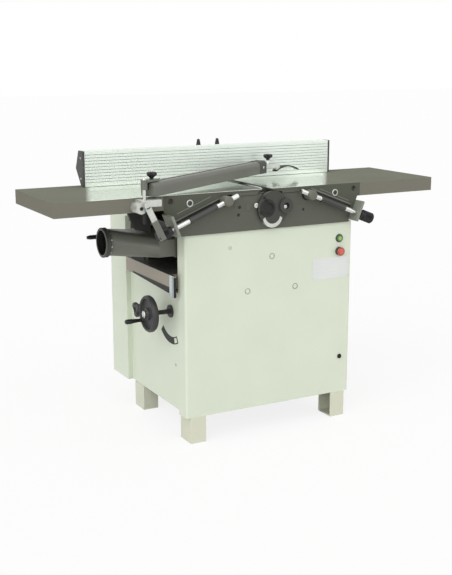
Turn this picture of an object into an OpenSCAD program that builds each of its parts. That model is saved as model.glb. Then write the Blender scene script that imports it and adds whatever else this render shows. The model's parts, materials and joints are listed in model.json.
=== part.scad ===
// Combination planer thicknesser: cast tables on inclined ways over a sheet metal stand.
// Millimetres. Origin: floor, centre of the four foot bolts. +X along the tables, +Y to the back, +Z up.

/* [Tables] */
// height of the planing surface above the floor
table_top_z = 850; // [820:1:880]
// front edge of the tables, from the origin
table_front_y = -242; // [-250:1:-235]
// depth of the tables, front to back
table_depth = 377; // [370:1:385]
// reach of the outfeed table from the cutter axis
outfeed_reach = 739; // [600:1:900]
// reach of the infeed table from the cutter axis
infeed_reach = 695; // [600:1:900]
// thickness of the table plate at its edges
plate_t = 47; // [42:1:52]
// thickness of the table lip over the cutter bay
lip_t = 12; // [10:1:13]
// half width of the mouth between the lips
mouth_half = 20; // [19:0.5:24]
// width of the skirts that ride on the ways
skirt_t = 28; // [22:1:30]
// metal left above the pockets under the plate
plate_skin_t = 18; // [14:1:24]
// rim left round the pockets
rim_t = 26; // [20:1:34]
// ribs between the pockets
rib_t = 12; // [8:1:18]
// pockets under each table
pocket_count = 4; // [2:1:6]
// lock hole in the front edge, radius
lock_hole_r = 9.5; // [8:0.5:11]
// lock hole depth
lock_hole_depth = 16; // [8:1:22]
// lock hole from the cutter axis
lock_hole_u = 352; // [330:1:380]
// lock hole below the table top
lock_hole_drop = 20; // [16:1:28]

/* [Ways and bed] */
// slope of the table ways
way_angle = 21.5; // [20:0.5:23]
// start of the slope from the cutter axis
way_run = 146; // [140:1:152]
// length of the slope
way_len = 219; // [212:1:226]
// crest of the bed ways out from the slope start
way_lead = 14; // [13:0.5:16]
// running gap between ways and tables
way_gap = 0.4; // [0.3:0.05:0.8]
// step down of the bed under the lips
bay_gap = 7; // [6:0.5:9]
// thickness of each bed cheek
cheek_t = 30; // [26:1:32]
// front cheek behind the table edge
cheek_setback = 2; // [1:0.5:3]
// rear cheek beyond the table edge
cheek_overhang = 3; // [1.5:0.5:4]
// reach of the bed each way from the cutter axis
bed_reach = 335; // [325:1:338]
// cross ties, distance from the cutter axis
tie_u = 285; // [270:1:292]
// cross tie width
tie_w = 34; // [24:1:40]
// cross tie height
tie_h = 26; // [18:1:30]
// finger shaft, distance from the cutter axis
finger_u = 118; // [112:1:124]
// finger shaft above the bed bottom
finger_rise = 86; // [80:1:92]

/* [Cutter] */
// cutter axis from the origin
cutter_x = -28; // [-34:1:-22]
// circle swept by the knives, radius
cutter_r = 40; // [38:0.5:41]
// cutter body below the knife circle
knife_out = 1.5; // [1:0.1:2]
// clearance round the knife circle under the lips
cutter_clear = 2; // [1.5:0.1:3]
// gap at each end of the cutter body
cutter_end_gap = 5; // [3:0.5:8]
// cutter shaft radius
shaft_r = 12.5; // [10:0.5:14]
// bearing outer radius
bearing_r = 26; // [22:0.5:28]
// bearing width
bearing_w = 15; // [12:0.5:18]
// knives in the block
knife_count = 3; // [2:1:4]
// knife thickness
knife_t = 3; // [2.5:0.25:4]
// knife depth
knife_d = 18; // [14:0.5:22]
// gib bar thickness
gib_t = 6; // [4:0.5:8]
// gib bar below the block surface
gib_drop = 2; // [1.5:0.25:4]
// radial play of running fits
fit = 0.05; // [0.02:0.01:0.08]

/* [Bearing cover] */
// cover beside the cutter axis
cover_u = 21; // [15:1:26]
// cover centre below the table top
cover_drop = 66; // [62:1:70]
// cover radius
cover_r = 58; // [52:1:60]
// cover thickness
cover_t = 12; // [8:0.5:16]
// recess beside the cover centre
recess_u = -18; // [-22:1:-14]
// recess radius
recess_r = 20; // [14:0.5:24]
// recess depth
recess_d = 6; // [3:0.5:9]
// hub ring radius
hub_r = 25; // [20:0.5:27]
// hub ring stand-out
hub_h = 8; // [4:0.5:12]
// hub hole radius
hub_hole_r = 11; // [8:0.5:14]
// crescent plate circle radius
crescent_r = 63; // [60:0.5:66]
// crescent plate circle below the cover centre
crescent_drop = 6.5; // [5:0.5:8]
// crescent plate thickness
crescent_t = 4; // [2:0.5:6]
// cover bolt head radius
bolt_r = 4.5; // [3:0.25:6]
// cover bolt head height
bolt_h = 5; // [3:0.25:7]
// cover bolt circle, share of the cover radius
bolt_ring_share = 0.86; // [0.8:0.01:0.88]
// cover bolts
bolt_count = 5; // [3:1:8]
// clearance between the cover and the crescent plate
crescent_gap = 0.4; // [0.2:0.1:1]

/* [Table adjusters] */
// rod axis in front of the table edge
rod_out = 24; // [22:1:28]
// rod axis below the line of the ways
rod_drop = 10; // [8:0.5:12]
// rod radius
rod_r = 8; // [7:0.25:8.5]
// rod end above the slope start
rod_tip = 22; // [15:1:30]
// trunnion from the slope start
trunnion_s = 6; // [2:1:12]
// trunnion length
trunnion_len = 28; // [22:1:34]
// trunnion radius
trunnion_r = 15; // [13:0.5:16]
// trunnion lug foot below the slope start
lug_h = 44; // [42:1:46]
// trunnion lug height
lug_t = 21; // [18:0.5:23]
// sleeve start along the slope
sleeve_s = 62; // [56:1:70]
// sleeve length
sleeve_len = 106; // [90:1:120]
// sleeve radius
sleeve_r = 11.5; // [10:0.25:12.5]
// bracket plate thickness
bracket_t = 9; // [7:0.5:12]
// bracket above the slope line
bracket_up = 44; // [36:1:50]
// bracket below the slope line
bracket_down = 28; // [22:1:34]
// bracket beyond the rod axis
bracket_out = 18; // [14:1:24]
// gap from bracket to knob
knob_gap = 8; // [4:0.5:14]
// adjuster knob length
knob_len = 52; // [40:1:60]
// adjuster knob radius
knob_r = 19; // [15:0.5:22]
// adjuster knob end collar
knob_collar = 10; // [6:0.5:14]
// knob collar radius, share of the knob radius
knob_collar_share = 0.8; // [0.7:0.01:0.9]

/* [Stand] */
// half width of the stand
cab_half_w = 327; // [322:1:332]
// front face of the stand
cab_front_y = -232; // [-236:1:-229]
// space from the rear cheek to the rear housing
house_gap = 122; // [112:1:132]
// depth of the rear housing
house_d = 141; // [120:1:160]
// underside of the stand
cab_bottom_z = 92; // [85:1:100]
// top of the stand
cab_top_z = 714; // [708:1:718]
// sheet thickness
sheet_t = 2.5; // [2:0.1:3]
// outside bend radius of the front panel
corner_r = 8; // [5:0.5:9]
// depth of the front panel returns
return_d = 56; // [48:1:60]
// width of the front panel top flange
flange_w = 24; // [20:1:27]
// side panels inside the stand faces
panel_recess = 19; // [15:1:24]
// top edge of the side panels
panel_top_z = 503; // [490:1:505]
// hem on the side panels
hem_w = 14; // [8:1:18]
// base plate thickness
base_t = 5; // [4:0.5:6]
// front panel top flange inside the stand faces
flange_inset = 9; // [8.5:0.5:12]
// leg of the stand angles
angle_leg = 23; // [18:1:23]
// thickness of the stand angles
angle_t = 4; // [3:0.5:6]
// hem clear of the stand angles
hem_gap = 1; // [0.5:0.25:2]
// rear door louvre length
louvre_len = 180; // [120:5:240]
// rear door louvre height
louvre_h = 6; // [4:0.5:9]
// rear door louvre pitch
louvre_pitch = 22; // [16:1:30]
// rear door louvres
louvre_count = 6; // [3:1:9]
// lowest louvre above the door edge
louvre_rise = 80; // [60:5:120]
// drive partition behind the bed
partition_gap = 3; // [2:0.5:5]
// drive partition hole round the motor shaft, radius
partition_hole_r = 26; // [20:1:30]
// drive partition side depth below the panel top
partition_lap = 20; // [10:1:30]

/* [Feet] */
// foot width
foot_w = 58; // [50:1:64]
// foot depth
foot_d = 77; // [70:1:80]
// foot sheet thickness
foot_wall = 4; // [3:0.5:5]
// foot plate thickness
foot_plate = 5; // [4:0.5:7]
// foot bolt hole radius
foot_hole_r = 6.5; // [5:0.25:8]
// foot bolt pitch across
foot_pitch_x = 564; // [540:1:570]
// foot bolt pitch front to back
foot_pitch_y = 388; // [370:1:389]

/* [Thicknessing table] */
// top of the thicknessing table
deck_top_z = 577; // [572:1:580]
// edge height of the thicknessing table
deck_t = 50; // [46:1:52]
// half length of the deck
deck_half = 318; // [310:1:319]
// side clearance of the deck inside the bed
deck_side_gap = 7; // [6:0.5:9]
// front edge of the deck neck
neck_front_y = -168; // [-172:1:-160]
// neck beyond the deck
neck_len = 25; // [22:1:30]
// apron thickness
apron_t = 10; // [8:0.5:14]
// apron tail behind the rear cheek
apron_tail = 58; // [42:1:72]
// metal above the deck pocket
deck_skin_t = 12; // [10:0.5:12]
// deck rim
deck_rim = 14; // [10:1:18]
// depth plate width
plate_w = 30; // [24:1:34]
// depth plate below the deck edge
plate_drop = 24; // [14:0.5:26]
// guide columns, position across
guide_x = 40; // [30:1:60]
// front guide column from the deck front
guide_front_in = 53; // [43:1:63]
// rear guide column from the deck back
guide_rear_in = 51; // [41:1:61]
// guide column radius
guide_r = 20; // [16:0.5:22]
// guide bush wall
bush_wall = 12; // [8:0.5:14]
// guide bush below the deck
bush_len = 117; // [90:1:125]
// column end below the deck pocket roof
column_top_gap = 20; // [19:0.5:24]

/* [Lift drive] */
// lift screw, position across
screw_x = -200; // [-215:1:-190]
// handwheel axis, front to back
wheel_y = -81; // [-86:1:-76]
// handwheel axis height
wheel_z = 430; // [426:1:433]
// lift screw radius
screw_r = 11; // [9:0.25:12]
// lift screw journal radius
journal_r = 9; // [7:0.25:10]
// lift screw journal length
journal_len = 50; // [40:1:60]
// lift nut radius
nut_r = 22; // [18:0.5:24]
// lift nut length
nut_len = 42; // [36:1:42]
// play of the lift thread
thread_gap = 0.4; // [0.3:0.05:0.6]
// pedestal radius
pedestal_r = 28; // [22:1:32]
// bevel gear pitch radius at the heel
gear_r = 24; // [22:0.5:25]
// bevel gear face width along the axis
gear_face = 9; // [7:0.5:10]
// bevel tooth height over the pitch cone
tooth_up = 1.2; // [0.8:0.1:1.4]
// bevel tooth depth under the pitch cone
tooth_down = 2; // [1.8:0.1:2.4]
// bevel tooth width
tooth_w = 2.4; // [1.8:0.1:2.6]
// bevel teeth
tooth_count = 12; // [10:2:12]
// bevel gear hub radius
gear_hub_r = 16; // [14:0.5:18]
// bevel gear hub length
gear_hub_len = 12; // [8:0.5:14]
// gap under the bevel hub
gear_gap = 2; // [1:0.25:3]

/* [Handwheel] */
// handwheel centre out from the side panel
wheel_out = 82; // [76:1:90]
// handwheel radius
wheel_r = 63; // [55:1:68]
// handwheel rim width along the shaft
wheel_t = 22; // [18:1:26]
// handwheel web thickness
wheel_web = 10; // [8:0.5:14]
// handwheel rim thickness
wheel_rim = 11; // [8:0.5:14]
// handwheel boss radius
wheel_boss_r = 20; // [16:0.5:24]
// hub nut radius
wheel_nut_r = 11; // [8:0.5:13]
// hub nut height
wheel_nut_h = 9; // [5:0.5:12]
// handwheel shaft radius
wheel_shaft_r = 8; // [7:0.25:9]
// shaft flange radius
flange_r = 22; // [18:0.5:26]
// shaft flange thickness
flange_t = 6; // [4:0.5:8]
// shaft flange boss radius
flange_boss_r = 13; // [11:0.5:15]
// shaft flange boss length
flange_boss_len = 16; // [10:0.5:20]
// crank grip radius from the shaft
grip_ring = 47; // [42:0.5:52]
// crank grip angle round the shaft
grip_angle = -38; // [-60:1:-20]
// crank grip radius
grip_r = 8.5; // [7:0.25:10]
// crank grip length
grip_len = 60; // [50:1:70]
// crank grip pin radius
grip_pin_r = 4; // [3:0.25:5]
// crank grip off the wheel
grip_gap = 1; // [0.5:0.1:2]
// lock knob in front of the rear cheek
lock_in = 10; // [8:1:18]
// lock knob height
lock_z = 404; // [396:1:412]
// lock knob out from the side panel
lock_out = 40; // [34:1:48]
// lock knob thickness
lock_t = 16; // [12:0.5:20]
// lock knob lobe radius
lobe_r = 10; // [8:0.5:12]
// lock knob lobe ring
lobe_ring = 20; // [16:0.5:24]
// lock knob stem radius
lock_stem_r = 6; // [5:0.25:8]

/* [Feed] */
// feed rollers from the cutter axis
roller_u = 68; // [66:0.5:72]
// feed roller axis below the table top
roller_drop = 60; // [58:0.5:64]
// feed roller radius
roller_r = 23; // [20:0.5:24]
// feed roller journal radius
roller_journal_r = 10; // [8:0.25:11]
// depth of the roller serrations
serration_d = 1.5; // [1:0.1:2]
// serrations round the roller
serration_count = 30; // [20:2:36]
// finger shaft radius
finger_shaft_r = 6; // [5:0.25:7]
// finger length
finger_len = 46; // [40:1:50]
// finger width
finger_w = 14; // [10:0.5:16]
// finger thickness along the shaft
finger_t = 9; // [7:0.5:10]
// fingers on the shaft
finger_count = 14; // [10:1:16]

/* [Drive] */
// motor axis, position across
motor_x = 205; // [190:1:210]
// motor axis height
motor_z = 235; // [225:1:245]
// motor body radius
motor_r = 76; // [70:1:76]
// motor back end in front of the rear cheek's back
motor_in = 18; // [12:1:24]
// motor length
motor_len = 195; // [180:1:205]
// motor end cover length
motor_cap = 22; // [16:1:30]
// motor cover radius, share of the body radius
motor_cap_share = 0.86; // [0.8:0.01:0.95]
// motor terminal box width
terminal_w = 84; // [70:1:95]
// motor terminal box height
terminal_h = 42; // [34:1:50]
// motor pedestal width
motor_foot_w = 120; // [100:2:140]
// motor shaft radius
motor_shaft_r = 12; // [10:0.25:14]
// pulley rim behind the bed
pulley_gap = 12; // [10:0.5:14]
// pulley width
pulley_w = 30; // [26:1:34]
// pulley flange width
pulley_flange = 3; // [2:0.25:4]
// pulley flange height
pulley_rim = 5; // [4.5:0.25:7]
// cutter pulley radius
cutter_pulley_r = 31; // [28:0.5:32]
// motor pulley radius
motor_pulley_r = 42; // [38:0.5:50]
// belt thickness
belt_t = 4; // [3:0.25:4.5]
// belt play on the pulleys
belt_gap = 0.5; // [0.4:0.05:0.8]
// belt guard left of the cutter axis
guard_box_left = 68; // [60:1:70]
// belt guard right of the cutter axis
guard_box_right = 92; // [86:1:100]
// belt guard depth
guard_box_d = 54; // [50:1:58]
// space over the cutter pulley in the belt guard
guard_box_clear = 1.5; // [1:0.25:2]

/* [Fence] */
// fence face from the back edge of the tables
fence_in = 62; // [61:0.5:69]
// left end of the fence
fence_left_x = -545; // [-600:1:-500]
// fence length
fence_len = 970; // [860:1:1060]
// fence off the table
fence_lift = 1; // [0.8:0.1:1.5]
// fence height
fence_h = 119; // [116:0.5:122]
// fence width at the top
fence_top_w = 38; // [34:0.5:40]
// fence width at the apex
fence_apex_w = 66; // [62:0.5:67]
// fence apex height
fence_apex_h = 58; // [55:0.5:62]
// fence width at the foot
fence_foot_w = 18; // [17:0.5:18]
// fence wall
fence_wall = 7; // [6:0.25:7.5]
// solid height at the fence foot
fence_sole = 17; // [15:0.5:20]
// fence end cap thickness
fence_cap_t = 8; // [5:0.5:12]
// fence pivot behind the face
pivot_y = 16; // [15.5:0.25:16.5]
// fence pivot above the fence foot
pivot_z = 6.5; // [6.3:0.1:6.8]
// fence pivot pin radius
pivot_r = 3; // [2.5:0.25:3.25]
// pin length into the fence
pin_hold = 28; // [20:1:36]
// centre of the fence bracket
bracket_x = -10; // [-12:0.5:-8]
// half width of the fence relief
relief_half = 112; // [111:0.5:120]
// relief rise over the pivot slope
relief_rise = 46; // [44:0.5:47]
// hinge arm thickness
arm_t = 14; // [10:0.5:16]
// hinge eye radius
eye_r = 6.2; // [5.8:0.1:6.3]
// hinge arm outer half spread
arm_half = 108; // [104:0.5:109]
// yoke behind the pivot
yoke_back = 30; // [28:0.5:34]
// yoke depth
yoke_d = 16; // [12:0.5:18]
// fence bar width
bar_w = 70; // [60:1:80]
// fence bar height
bar_h = 20; // [16:0.5:20]
// fence bar above the table
bar_rise = 20; // [19:0.25:21]
// fence bar length behind the yoke
bar_len = 176; // [170:1:200]
// bar play in the bracket
bar_gap = 0.4; // [0.3:0.05:0.6]
// bracket front face behind the fence face
bracket_back = 135; // [132:1:140]
// bracket depth
bracket_d = 56; // [50:1:62]
// bracket floor under the bar
bracket_floor = 3.6; // [3:0.1:4]
// bracket roof over the bar
bracket_roof = 14; // [10:0.5:16]
// bracket side plate thickness
bracket_side = 14; // [10:0.5:14]
// side plate bottom below the table
bracket_leg = 110; // [90:1:120]
// side plate shoulder below the table
bracket_shoulder = 20; // [18:1:26]
// lock lever offset, left
lever_left = -28; // [-34:1:-22]
// lock lever offset, right
lever_right = 50; // [40:1:60]
// lock lever stud radius
lever_stud_r = 5; // [4:0.25:6]
// lock lever stud depth
lever_stud = 12; // [8:0.5:12]
// lock lever hub radius
lever_hub_r = 11; // [9:0.5:13]
// lock lever hub height
lever_hub_h = 14; // [10:0.5:18]
// lock lever grip height
lever_h = 62; // [50:1:70]
// lock lever grip foot radius
lever_foot_r = 8.5; // [7:0.25:10]
// lock lever grip top radius
lever_top_r = 5.5; // [4:0.25:7]
// running gap under the levers
lever_gap = 0.5; // [0.3:0.05:1]

/* [Guard] */
// guard post from the origin
post_x = -482; // [-500:1:-460]
// guard post in front of the tables
post_out = 26; // [24:0.5:32]
// guard post radius
post_r = 6; // [5:0.25:7]
// guard post foot below the table top
post_drop = 80; // [76:1:90]
// guard post top above the table top
post_rise = 62; // [58:1:70]
// clamp block left of the post
block_left = 36; // [30:1:44]
// clamp block right of the post
block_right = 49; // [40:1:56]
// clamp block depth
block_d = 42; // [40:1:52]
// clamp block top below the table top
block_drop = 4; // [3:0.5:8]
// clamp block height
block_h = 21; // [18:0.5:26]
// clamp lobe radius
block_lobe_r = 17; // [14:0.5:20]
// clamp lobe centre below the table top
lobe_drop = 29; // [24:0.5:32]
// clamp bolt hole radius
block_hole_r = 6; // [4:0.25:8]
// clamp bolt hole depth
block_hole_d = 12; // [8:0.5:16]
// guard beam direction
guard_angle = 26; // [24:0.5:27]
// guard beam rise along its length
guard_tilt = 1.6; // [1.2:0.1:2]
// guard beam off the table at the post
beam_lift = 4; // [3:0.25:6]
// guard beam start from the post
beam_start = 16; // [14:0.5:20]
// space from the end of the guard beam to the fence
beam_back_gap = 59.13; // [57:0.01:80]
// guard beam width
beam_w = 54; // [46:1:58]
// guard beam height
beam_h = 43; // [40:0.5:45]
// guard beam top edge radius
beam_round = 15; // [10:0.5:18]
// guard beam wall
beam_wall = 4; // [3:0.25:5]
// guard beam slot width
beam_slot = 10; // [9:0.25:12]
// guard beam cap thickness
beam_cap_t = 9; // [6:0.5:12]
// guard head sleeve radius
head_r = 11; // [9:0.5:12]
// guard head sleeve height
head_h = 30; // [24:1:34]
// guard head plate length
head_len = 58; // [50:1:66]
// guard head plate width
head_w = 30; // [24:1:36]
// guard head plate thickness
head_t = 7; // [5:0.5:9]
// guard head plate off the beam
head_gap = 3; // [2.5:0.25:4]
// guard head key behind the knob stud
key_back = 7; // [5.5:0.5:9]
// guard knob stud radius
stud_r = 4; // [3:0.25:4.25]
// guard knob stud below the plate
stud_down = 20; // [14:0.5:24]
// guard knob stud above the knob
stud_up = 10; // [6:0.5:14]
// guard knob radius
star_r = 17; // [14:0.5:20]
// guard knob height
star_h = 17; // [13:0.5:20]
// guard knob lobes
star_count = 5; // [4:1:7]
// guard knob lobe radius, share of the knob radius
star_lobe_share = 0.3; // [0.25:0.01:0.35]
// guard knob along the plate
star_at = 36; // [30:1:42]
// spring holder stem length
holder_stem = 34; // [28:1:40]
// spring holder stem width
holder_w = 34; // [28:1:40]
// spring holder thickness
holder_t = 13; // [10:0.5:16]
// spring holder above the beam bottom
holder_rise = 12; // [8:0.5:15]
// spring holder arm length
holder_arm = 62; // [50:1:70]
// holder lug length
holder_lug = 12; // [8:0.5:16]
// holder lug drop
holder_lug_h = 8; // [5:0.5:10]
// holder knob along the arm
holder_knob_at = 22; // [16:1:30]
// holder knob stem length
holder_knob_stem = 16; // [10:0.5:20]
// leaf spring ends below the holder arm
leaf_drop = 13; // [11:0.5:14]
// leaf spring chord
leaf_chord = 102; // [90:1:110]
// leaf spring rise
leaf_sag = 18; // [14:0.5:22]
// leaf spring thickness
leaf_t = 4; // [2.5:0.25:5]
// leaf spring width
leaf_w = 26; // [20:1:32]
// leaf spring start along the arm
leaf_at = 46; // [40:1:52]
// release lever pivot beside the post
rel_x = -5; // [-10:1:10]
// release lever pivot below the table top
rel_drop = 20; // [16:0.5:24]
// release lever angle from plumb
rel_angle = 26; // [20:1:30]
// release lever length
rel_len = 121; // [112:1:132]
// release lever width
rel_w = 20; // [16:0.5:24]
// release lever thickness
rel_t = 7; // [5:0.5:9]
// release lever off the block
rel_gap = 8; // [5:0.5:12]
// release lever pivot radius
rel_pin_r = 6; // [5:0.25:7]
// release lever pivot hold in the block
rel_hold = 14; // [10:0.5:18]
// release lever grip, share of its length
rel_grip_share = 0.55; // [0.5:0.01:0.6]
// release lever grip extra thickness
rel_grip_extra = 3; // [2:0.25:5]

/* [Chip hood] */
// hood side from the front cheek
hood_front_in = 46; // [44:1:60]
// hood side from the rear cheek
hood_back_in = 10; // [9:1:18]
// hood underside
hood_bottom_z = 637; // [634:1:642]
// hood height
hood_h = 56; // [50:1:62]
// hood corner left of the origin
hood_corner_x = -386; // [-400:1:-370]
// hood inner end
hood_end_x = -70; // [-90:1:-60]
// hood spout root
spout_root_x = -468; // [-480:1:-455]
// hood spout end
spout_end_x = -531; // [-545:1:-520]
// hood spout axis behind the hood's middle
spout_off = 11; // [3:1:19]
// hood spout axis height
spout_z = 676; // [672:1:680]
// hood spout radius
spout_r = 45; // [42:0.5:48]
// hood wall
hood_wall = 3; // [2.5:0.25:4]
// hood mouth length
mouth_len = 70; // [50:1:90]
// collar width
collar_w = 17; // [12:0.5:24]
// collar thickness
collar_t = 5; // [3:0.5:7]
// pull bar radius
pull_r = 8; // [6:0.25:9]
// pull bar from the hood's back side
pull_in = 16; // [14:1:22]
// pull bar height
pull_z = 678; // [672:1:680]
// pull bar end
pull_end_x = -542; // [-560:1:-525]
// pull bar length
pull_len = 148; // [140:1:156]
// hood rail leg
rail_leg = 16; // [12:1:20]
// hood rail thickness
rail_t = 3; // [2:0.25:4]
// hood rail running gap
rail_gap = 0.5; // [0.4:0.05:1]
// hood rail length
rail_len = 210; // [180:1:230]

/* [Controls] */
// buttons from the origin
button_x = 274; // [262:1:284]
// start button height
start_z = 657; // [650:1:664]
// stop button height
stop_z = 611; // [604:1:618]
// start button radius
start_r = 11; // [9:0.25:13]
// stop button radius
stop_r = 15; // [12:0.5:18]
// button bezel wall
bezel_wall = 3; // [2:0.25:4]
// button bezel stand-out
bezel_h = 5; // [4:0.25:6]
// start button stand-out past the bezel
start_out = 3; // [2:0.25:5]
// stop button thickness
stop_t = 10; // [8:0.5:14]
// stop button off its bezel
stop_gap = 5; // [4.5:0.25:7]
// button stem radius
stem_r = 7; // [5:0.25:8]
// button stem behind the panel
stem_in = 9; // [8:0.5:14]
// button stroke
stroke = 4; // [3:0.25:4]
// play round the buttons
button_gap = 0.5; // [0.4:0.05:0.8]
// blanking plug rim radius
plug_r = 8.5; // [7:0.25:10]
// blanking plug rim height
plug_h = 1.5; // [1:0.25:3]
// first plug, position across
plug_a_x = 1; // [-20:1:20]
// first plug height
plug_a_z = 618; // [600:1:640]
// second plug, position across
plug_b_x = -92; // [-110:1:-75]
// second plug height
plug_b_z = 503; // [480:1:520]
// third plug, position across
plug_c_x = 95; // [75:1:110]
// third plug height
plug_c_z = 504; // [480:1:520]
// panel screw head radius
screw_head_r = 5; // [4:0.25:6]
// panel screw head height
screw_head_h = 2.5; // [1.5:0.25:3.5]
// left panel screw, front to back
left_screw_y = -116; // [-126:1:-106]
// left panel screw height
left_screw_z = 247; // [237:1:257]
// door screws inside the door edges
door_screw_in = 14; // [10:1:20]

/* [Hidden] */
$fn = 64;
over = sheet_t;
table_back_y = table_front_y + table_depth;
front_cheek_y = table_front_y + cheek_setback;
inner_front_y = front_cheek_y + cheek_t;
rear_cheek_back = table_back_y + cheek_overhang;
inner_rear_y = rear_cheek_back - cheek_t;
house_front_y = rear_cheek_back + house_gap;
house_back_y = house_front_y + house_d;
motor_front_y = rear_cheek_back - motor_in - motor_len;
lock_y = inner_rear_y - lock_in;
cutter_z = table_top_z - cutter_r;
block_r = cutter_r - knife_out;
way_end_u = way_run + way_len * cos(way_angle);
way_end_z = -lip_t - way_len * sin(way_angle);
way_drop = (bed_reach - way_run) * tan(way_angle);
plate_break_u = way_run + (plate_t - lip_t) / tan(way_angle);
rod_y = table_front_y - rod_out;
roller_z = table_top_z - roller_drop;
finger_z = cab_top_z + finger_rise;
cover_z = table_top_z - cover_drop;
panel_x = cab_half_w - panel_recess;
base_z = cab_bottom_z + base_t;
inner_y = cab_front_y + sheet_t;
deck_bottom_z = deck_top_z - deck_t;
deck_front_y = inner_front_y + deck_side_gap;
deck_back_y = inner_rear_y - deck_side_gap;
deck_roof_z = deck_top_z - deck_skin_t;
guide_front_y = deck_front_y + guide_front_in;
guide_rear_y = deck_back_y - guide_rear_in;
apron_back_y = rear_cheek_back + apron_tail;
hood_front_y = inner_front_y + hood_front_in;
hood_w = inner_rear_y - hood_back_in - hood_front_y;
spout_y = hood_front_y + hood_w / 2 + spout_off;
pull_y = hood_front_y + hood_w - pull_in;
apron_x = -deck_half - neck_len;
wheel_x = -panel_x - wheel_out;
pulley_y = rear_cheek_back + pulley_gap;
belt_y = pulley_y + pulley_flange + belt_gap;
belt_w = pulley_w - 2 * (pulley_flange + belt_gap);
fence_front_y = table_back_y - fence_in;
fence_z = table_top_z + fence_lift;
hinge_y = fence_front_y + pivot_y;
hinge_z = fence_z + pivot_z;
yoke_y = hinge_y + yoke_back;
bar_z = table_top_z + bar_rise;
bar_y = yoke_y + yoke_d;
bracket_y = fence_front_y + bracket_back;
bracket_top_z = bar_z + bar_h + bar_gap + bracket_roof;
lever_y = bracket_y + bracket_d / 2;
post_y = table_front_y - post_out;
beam_z = table_top_z + beam_lift;
plate_z = beam_z + beam_h + head_gap;
beam_end = (fence_front_y - beam_back_gap - post_y) / sin(guard_angle);
beam_len = beam_end - beam_start - beam_cap_t;
leaf_r = (leaf_chord * leaf_chord / 4 + leaf_sag * leaf_sag) / (2 * leaf_sag);
rel_y = post_y - block_d / 2 - rel_gap;

// extrudes an X-Z outline along +Y from y
module xz(y, h) translate([0, y + h, 0]) rotate([90, 0, 0]) linear_extrude(height = h) children();

// extrudes a Y-Z outline along +X from x
module yz(x, h) translate([x, 0, 0]) rotate([90, 0, 90]) linear_extrude(height = h) children();

// cylinder along +X
module xcyl(r, h, at) translate(at) rotate([0, 90, 0]) cylinder(r = r, h = h);

// cylinder along +Y
module ycyl(r, h, at) translate(at) rotate([-90, 0, 0]) cylinder(r = r, h = h);

// cylinder along +Z
module zcyl(r, h, at) translate(at) cylinder(r = r, h = h);

// box from a corner
module box(at, size) translate(at) cube(size);

// rectangle with round corners, from its low corner
module round_rect(w, d, r) {
    translate([r, 0]) square([w - 2 * r, d]);
    translate([0, r]) square([w, d - 2 * r]);
    for (x = [r, w - r], y = [r, d - r]) translate([x, y]) circle(r = r);
}

// loop outline round two circles
module belt_outline(ra, rb) hull() {
    translate([cutter_x, cutter_z]) circle(r = ra);
    translate([motor_x, motor_z]) circle(r = rb);
}

// places a right-hand piece measured from the cutter axis
module right_side() translate([cutter_x, 0, 0]) children();

// places a left-hand mirror piece measured from the cutter axis
module left_side() translate([cutter_x, 0, 0]) mirror([1, 0, 0]) children();

// frame on the adjuster rod: X runs down the slope
module on_rod() translate([way_run, rod_y, table_top_z - lip_t]) rotate([0, way_angle, 0])
    translate([0, 0, -rod_drop]) children();

module foot(w, d, h) {
    difference() {
        box([-w / 2, -d / 2, 0], [w, d, h]);
        box([-w / 2 + foot_wall, -d / 2 + foot_wall, foot_plate], [w, d - 2 * foot_wall, h]);
        zcyl(foot_hole_r, foot_plate + 2 * over, [0, 0, -over]);
    }
}

module feet() color([0.84, 0.86, 0.8]) for (y = [-foot_pitch_y / 2, foot_pitch_y / 2]) {
    translate([-foot_pitch_x / 2, y, 0]) foot(foot_w, foot_d, cab_bottom_z);
    translate([foot_pitch_x / 2, y, 0]) mirror([1, 0, 0]) foot(foot_w, foot_d, cab_bottom_z);
}

module angle_post(x, y, sx, sy, z, h) translate([x, y, z]) linear_extrude(height = h) polygon([[0, 0],
    [sx * angle_leg, 0], [sx * angle_leg, sy * angle_t], [sx * angle_t, sy * angle_t],
    [sx * angle_t, sy * angle_leg], [0, sy * angle_leg]]);

module stand_frame() color([0.3, 0.31, 0.29]) {
    post_at = panel_x - sheet_t;
    front_top = cab_top_z - sheet_t;
    difference() {
        union() {
            box([-post_at, inner_y, cab_bottom_z], [2 * post_at, house_front_y - inner_y, base_t]);
            for (s = [-1, 1]) {
                angle_post(s * post_at, inner_y, -s, 1, base_z, front_top - base_z);
                angle_post(s * post_at, inner_rear_y, -s, 1, base_z, cab_top_z - base_z);
            }
            box([-post_at, inner_y, front_top - angle_leg], [2 * post_at, angle_t, angle_leg]);
            box([-post_at, inner_y, front_top - angle_t], [2 * post_at, angle_leg, angle_t]);
            box([-post_at, inner_rear_y, cab_top_z - angle_leg], [2 * post_at, angle_t, angle_leg]);
            box([-post_at, inner_rear_y, cab_top_z - angle_t], [2 * post_at, angle_leg, angle_t]);
            zcyl(pedestal_r, wheel_z - gear_r - gear_hub_len - gear_gap - base_z, [screw_x, wheel_y, base_z]);
        }
        zcyl(journal_r + fit, journal_len + 2 * over,
            [screw_x, wheel_y, wheel_z - gear_r - gear_hub_len - journal_len - gear_gap]);
    }
}

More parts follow.
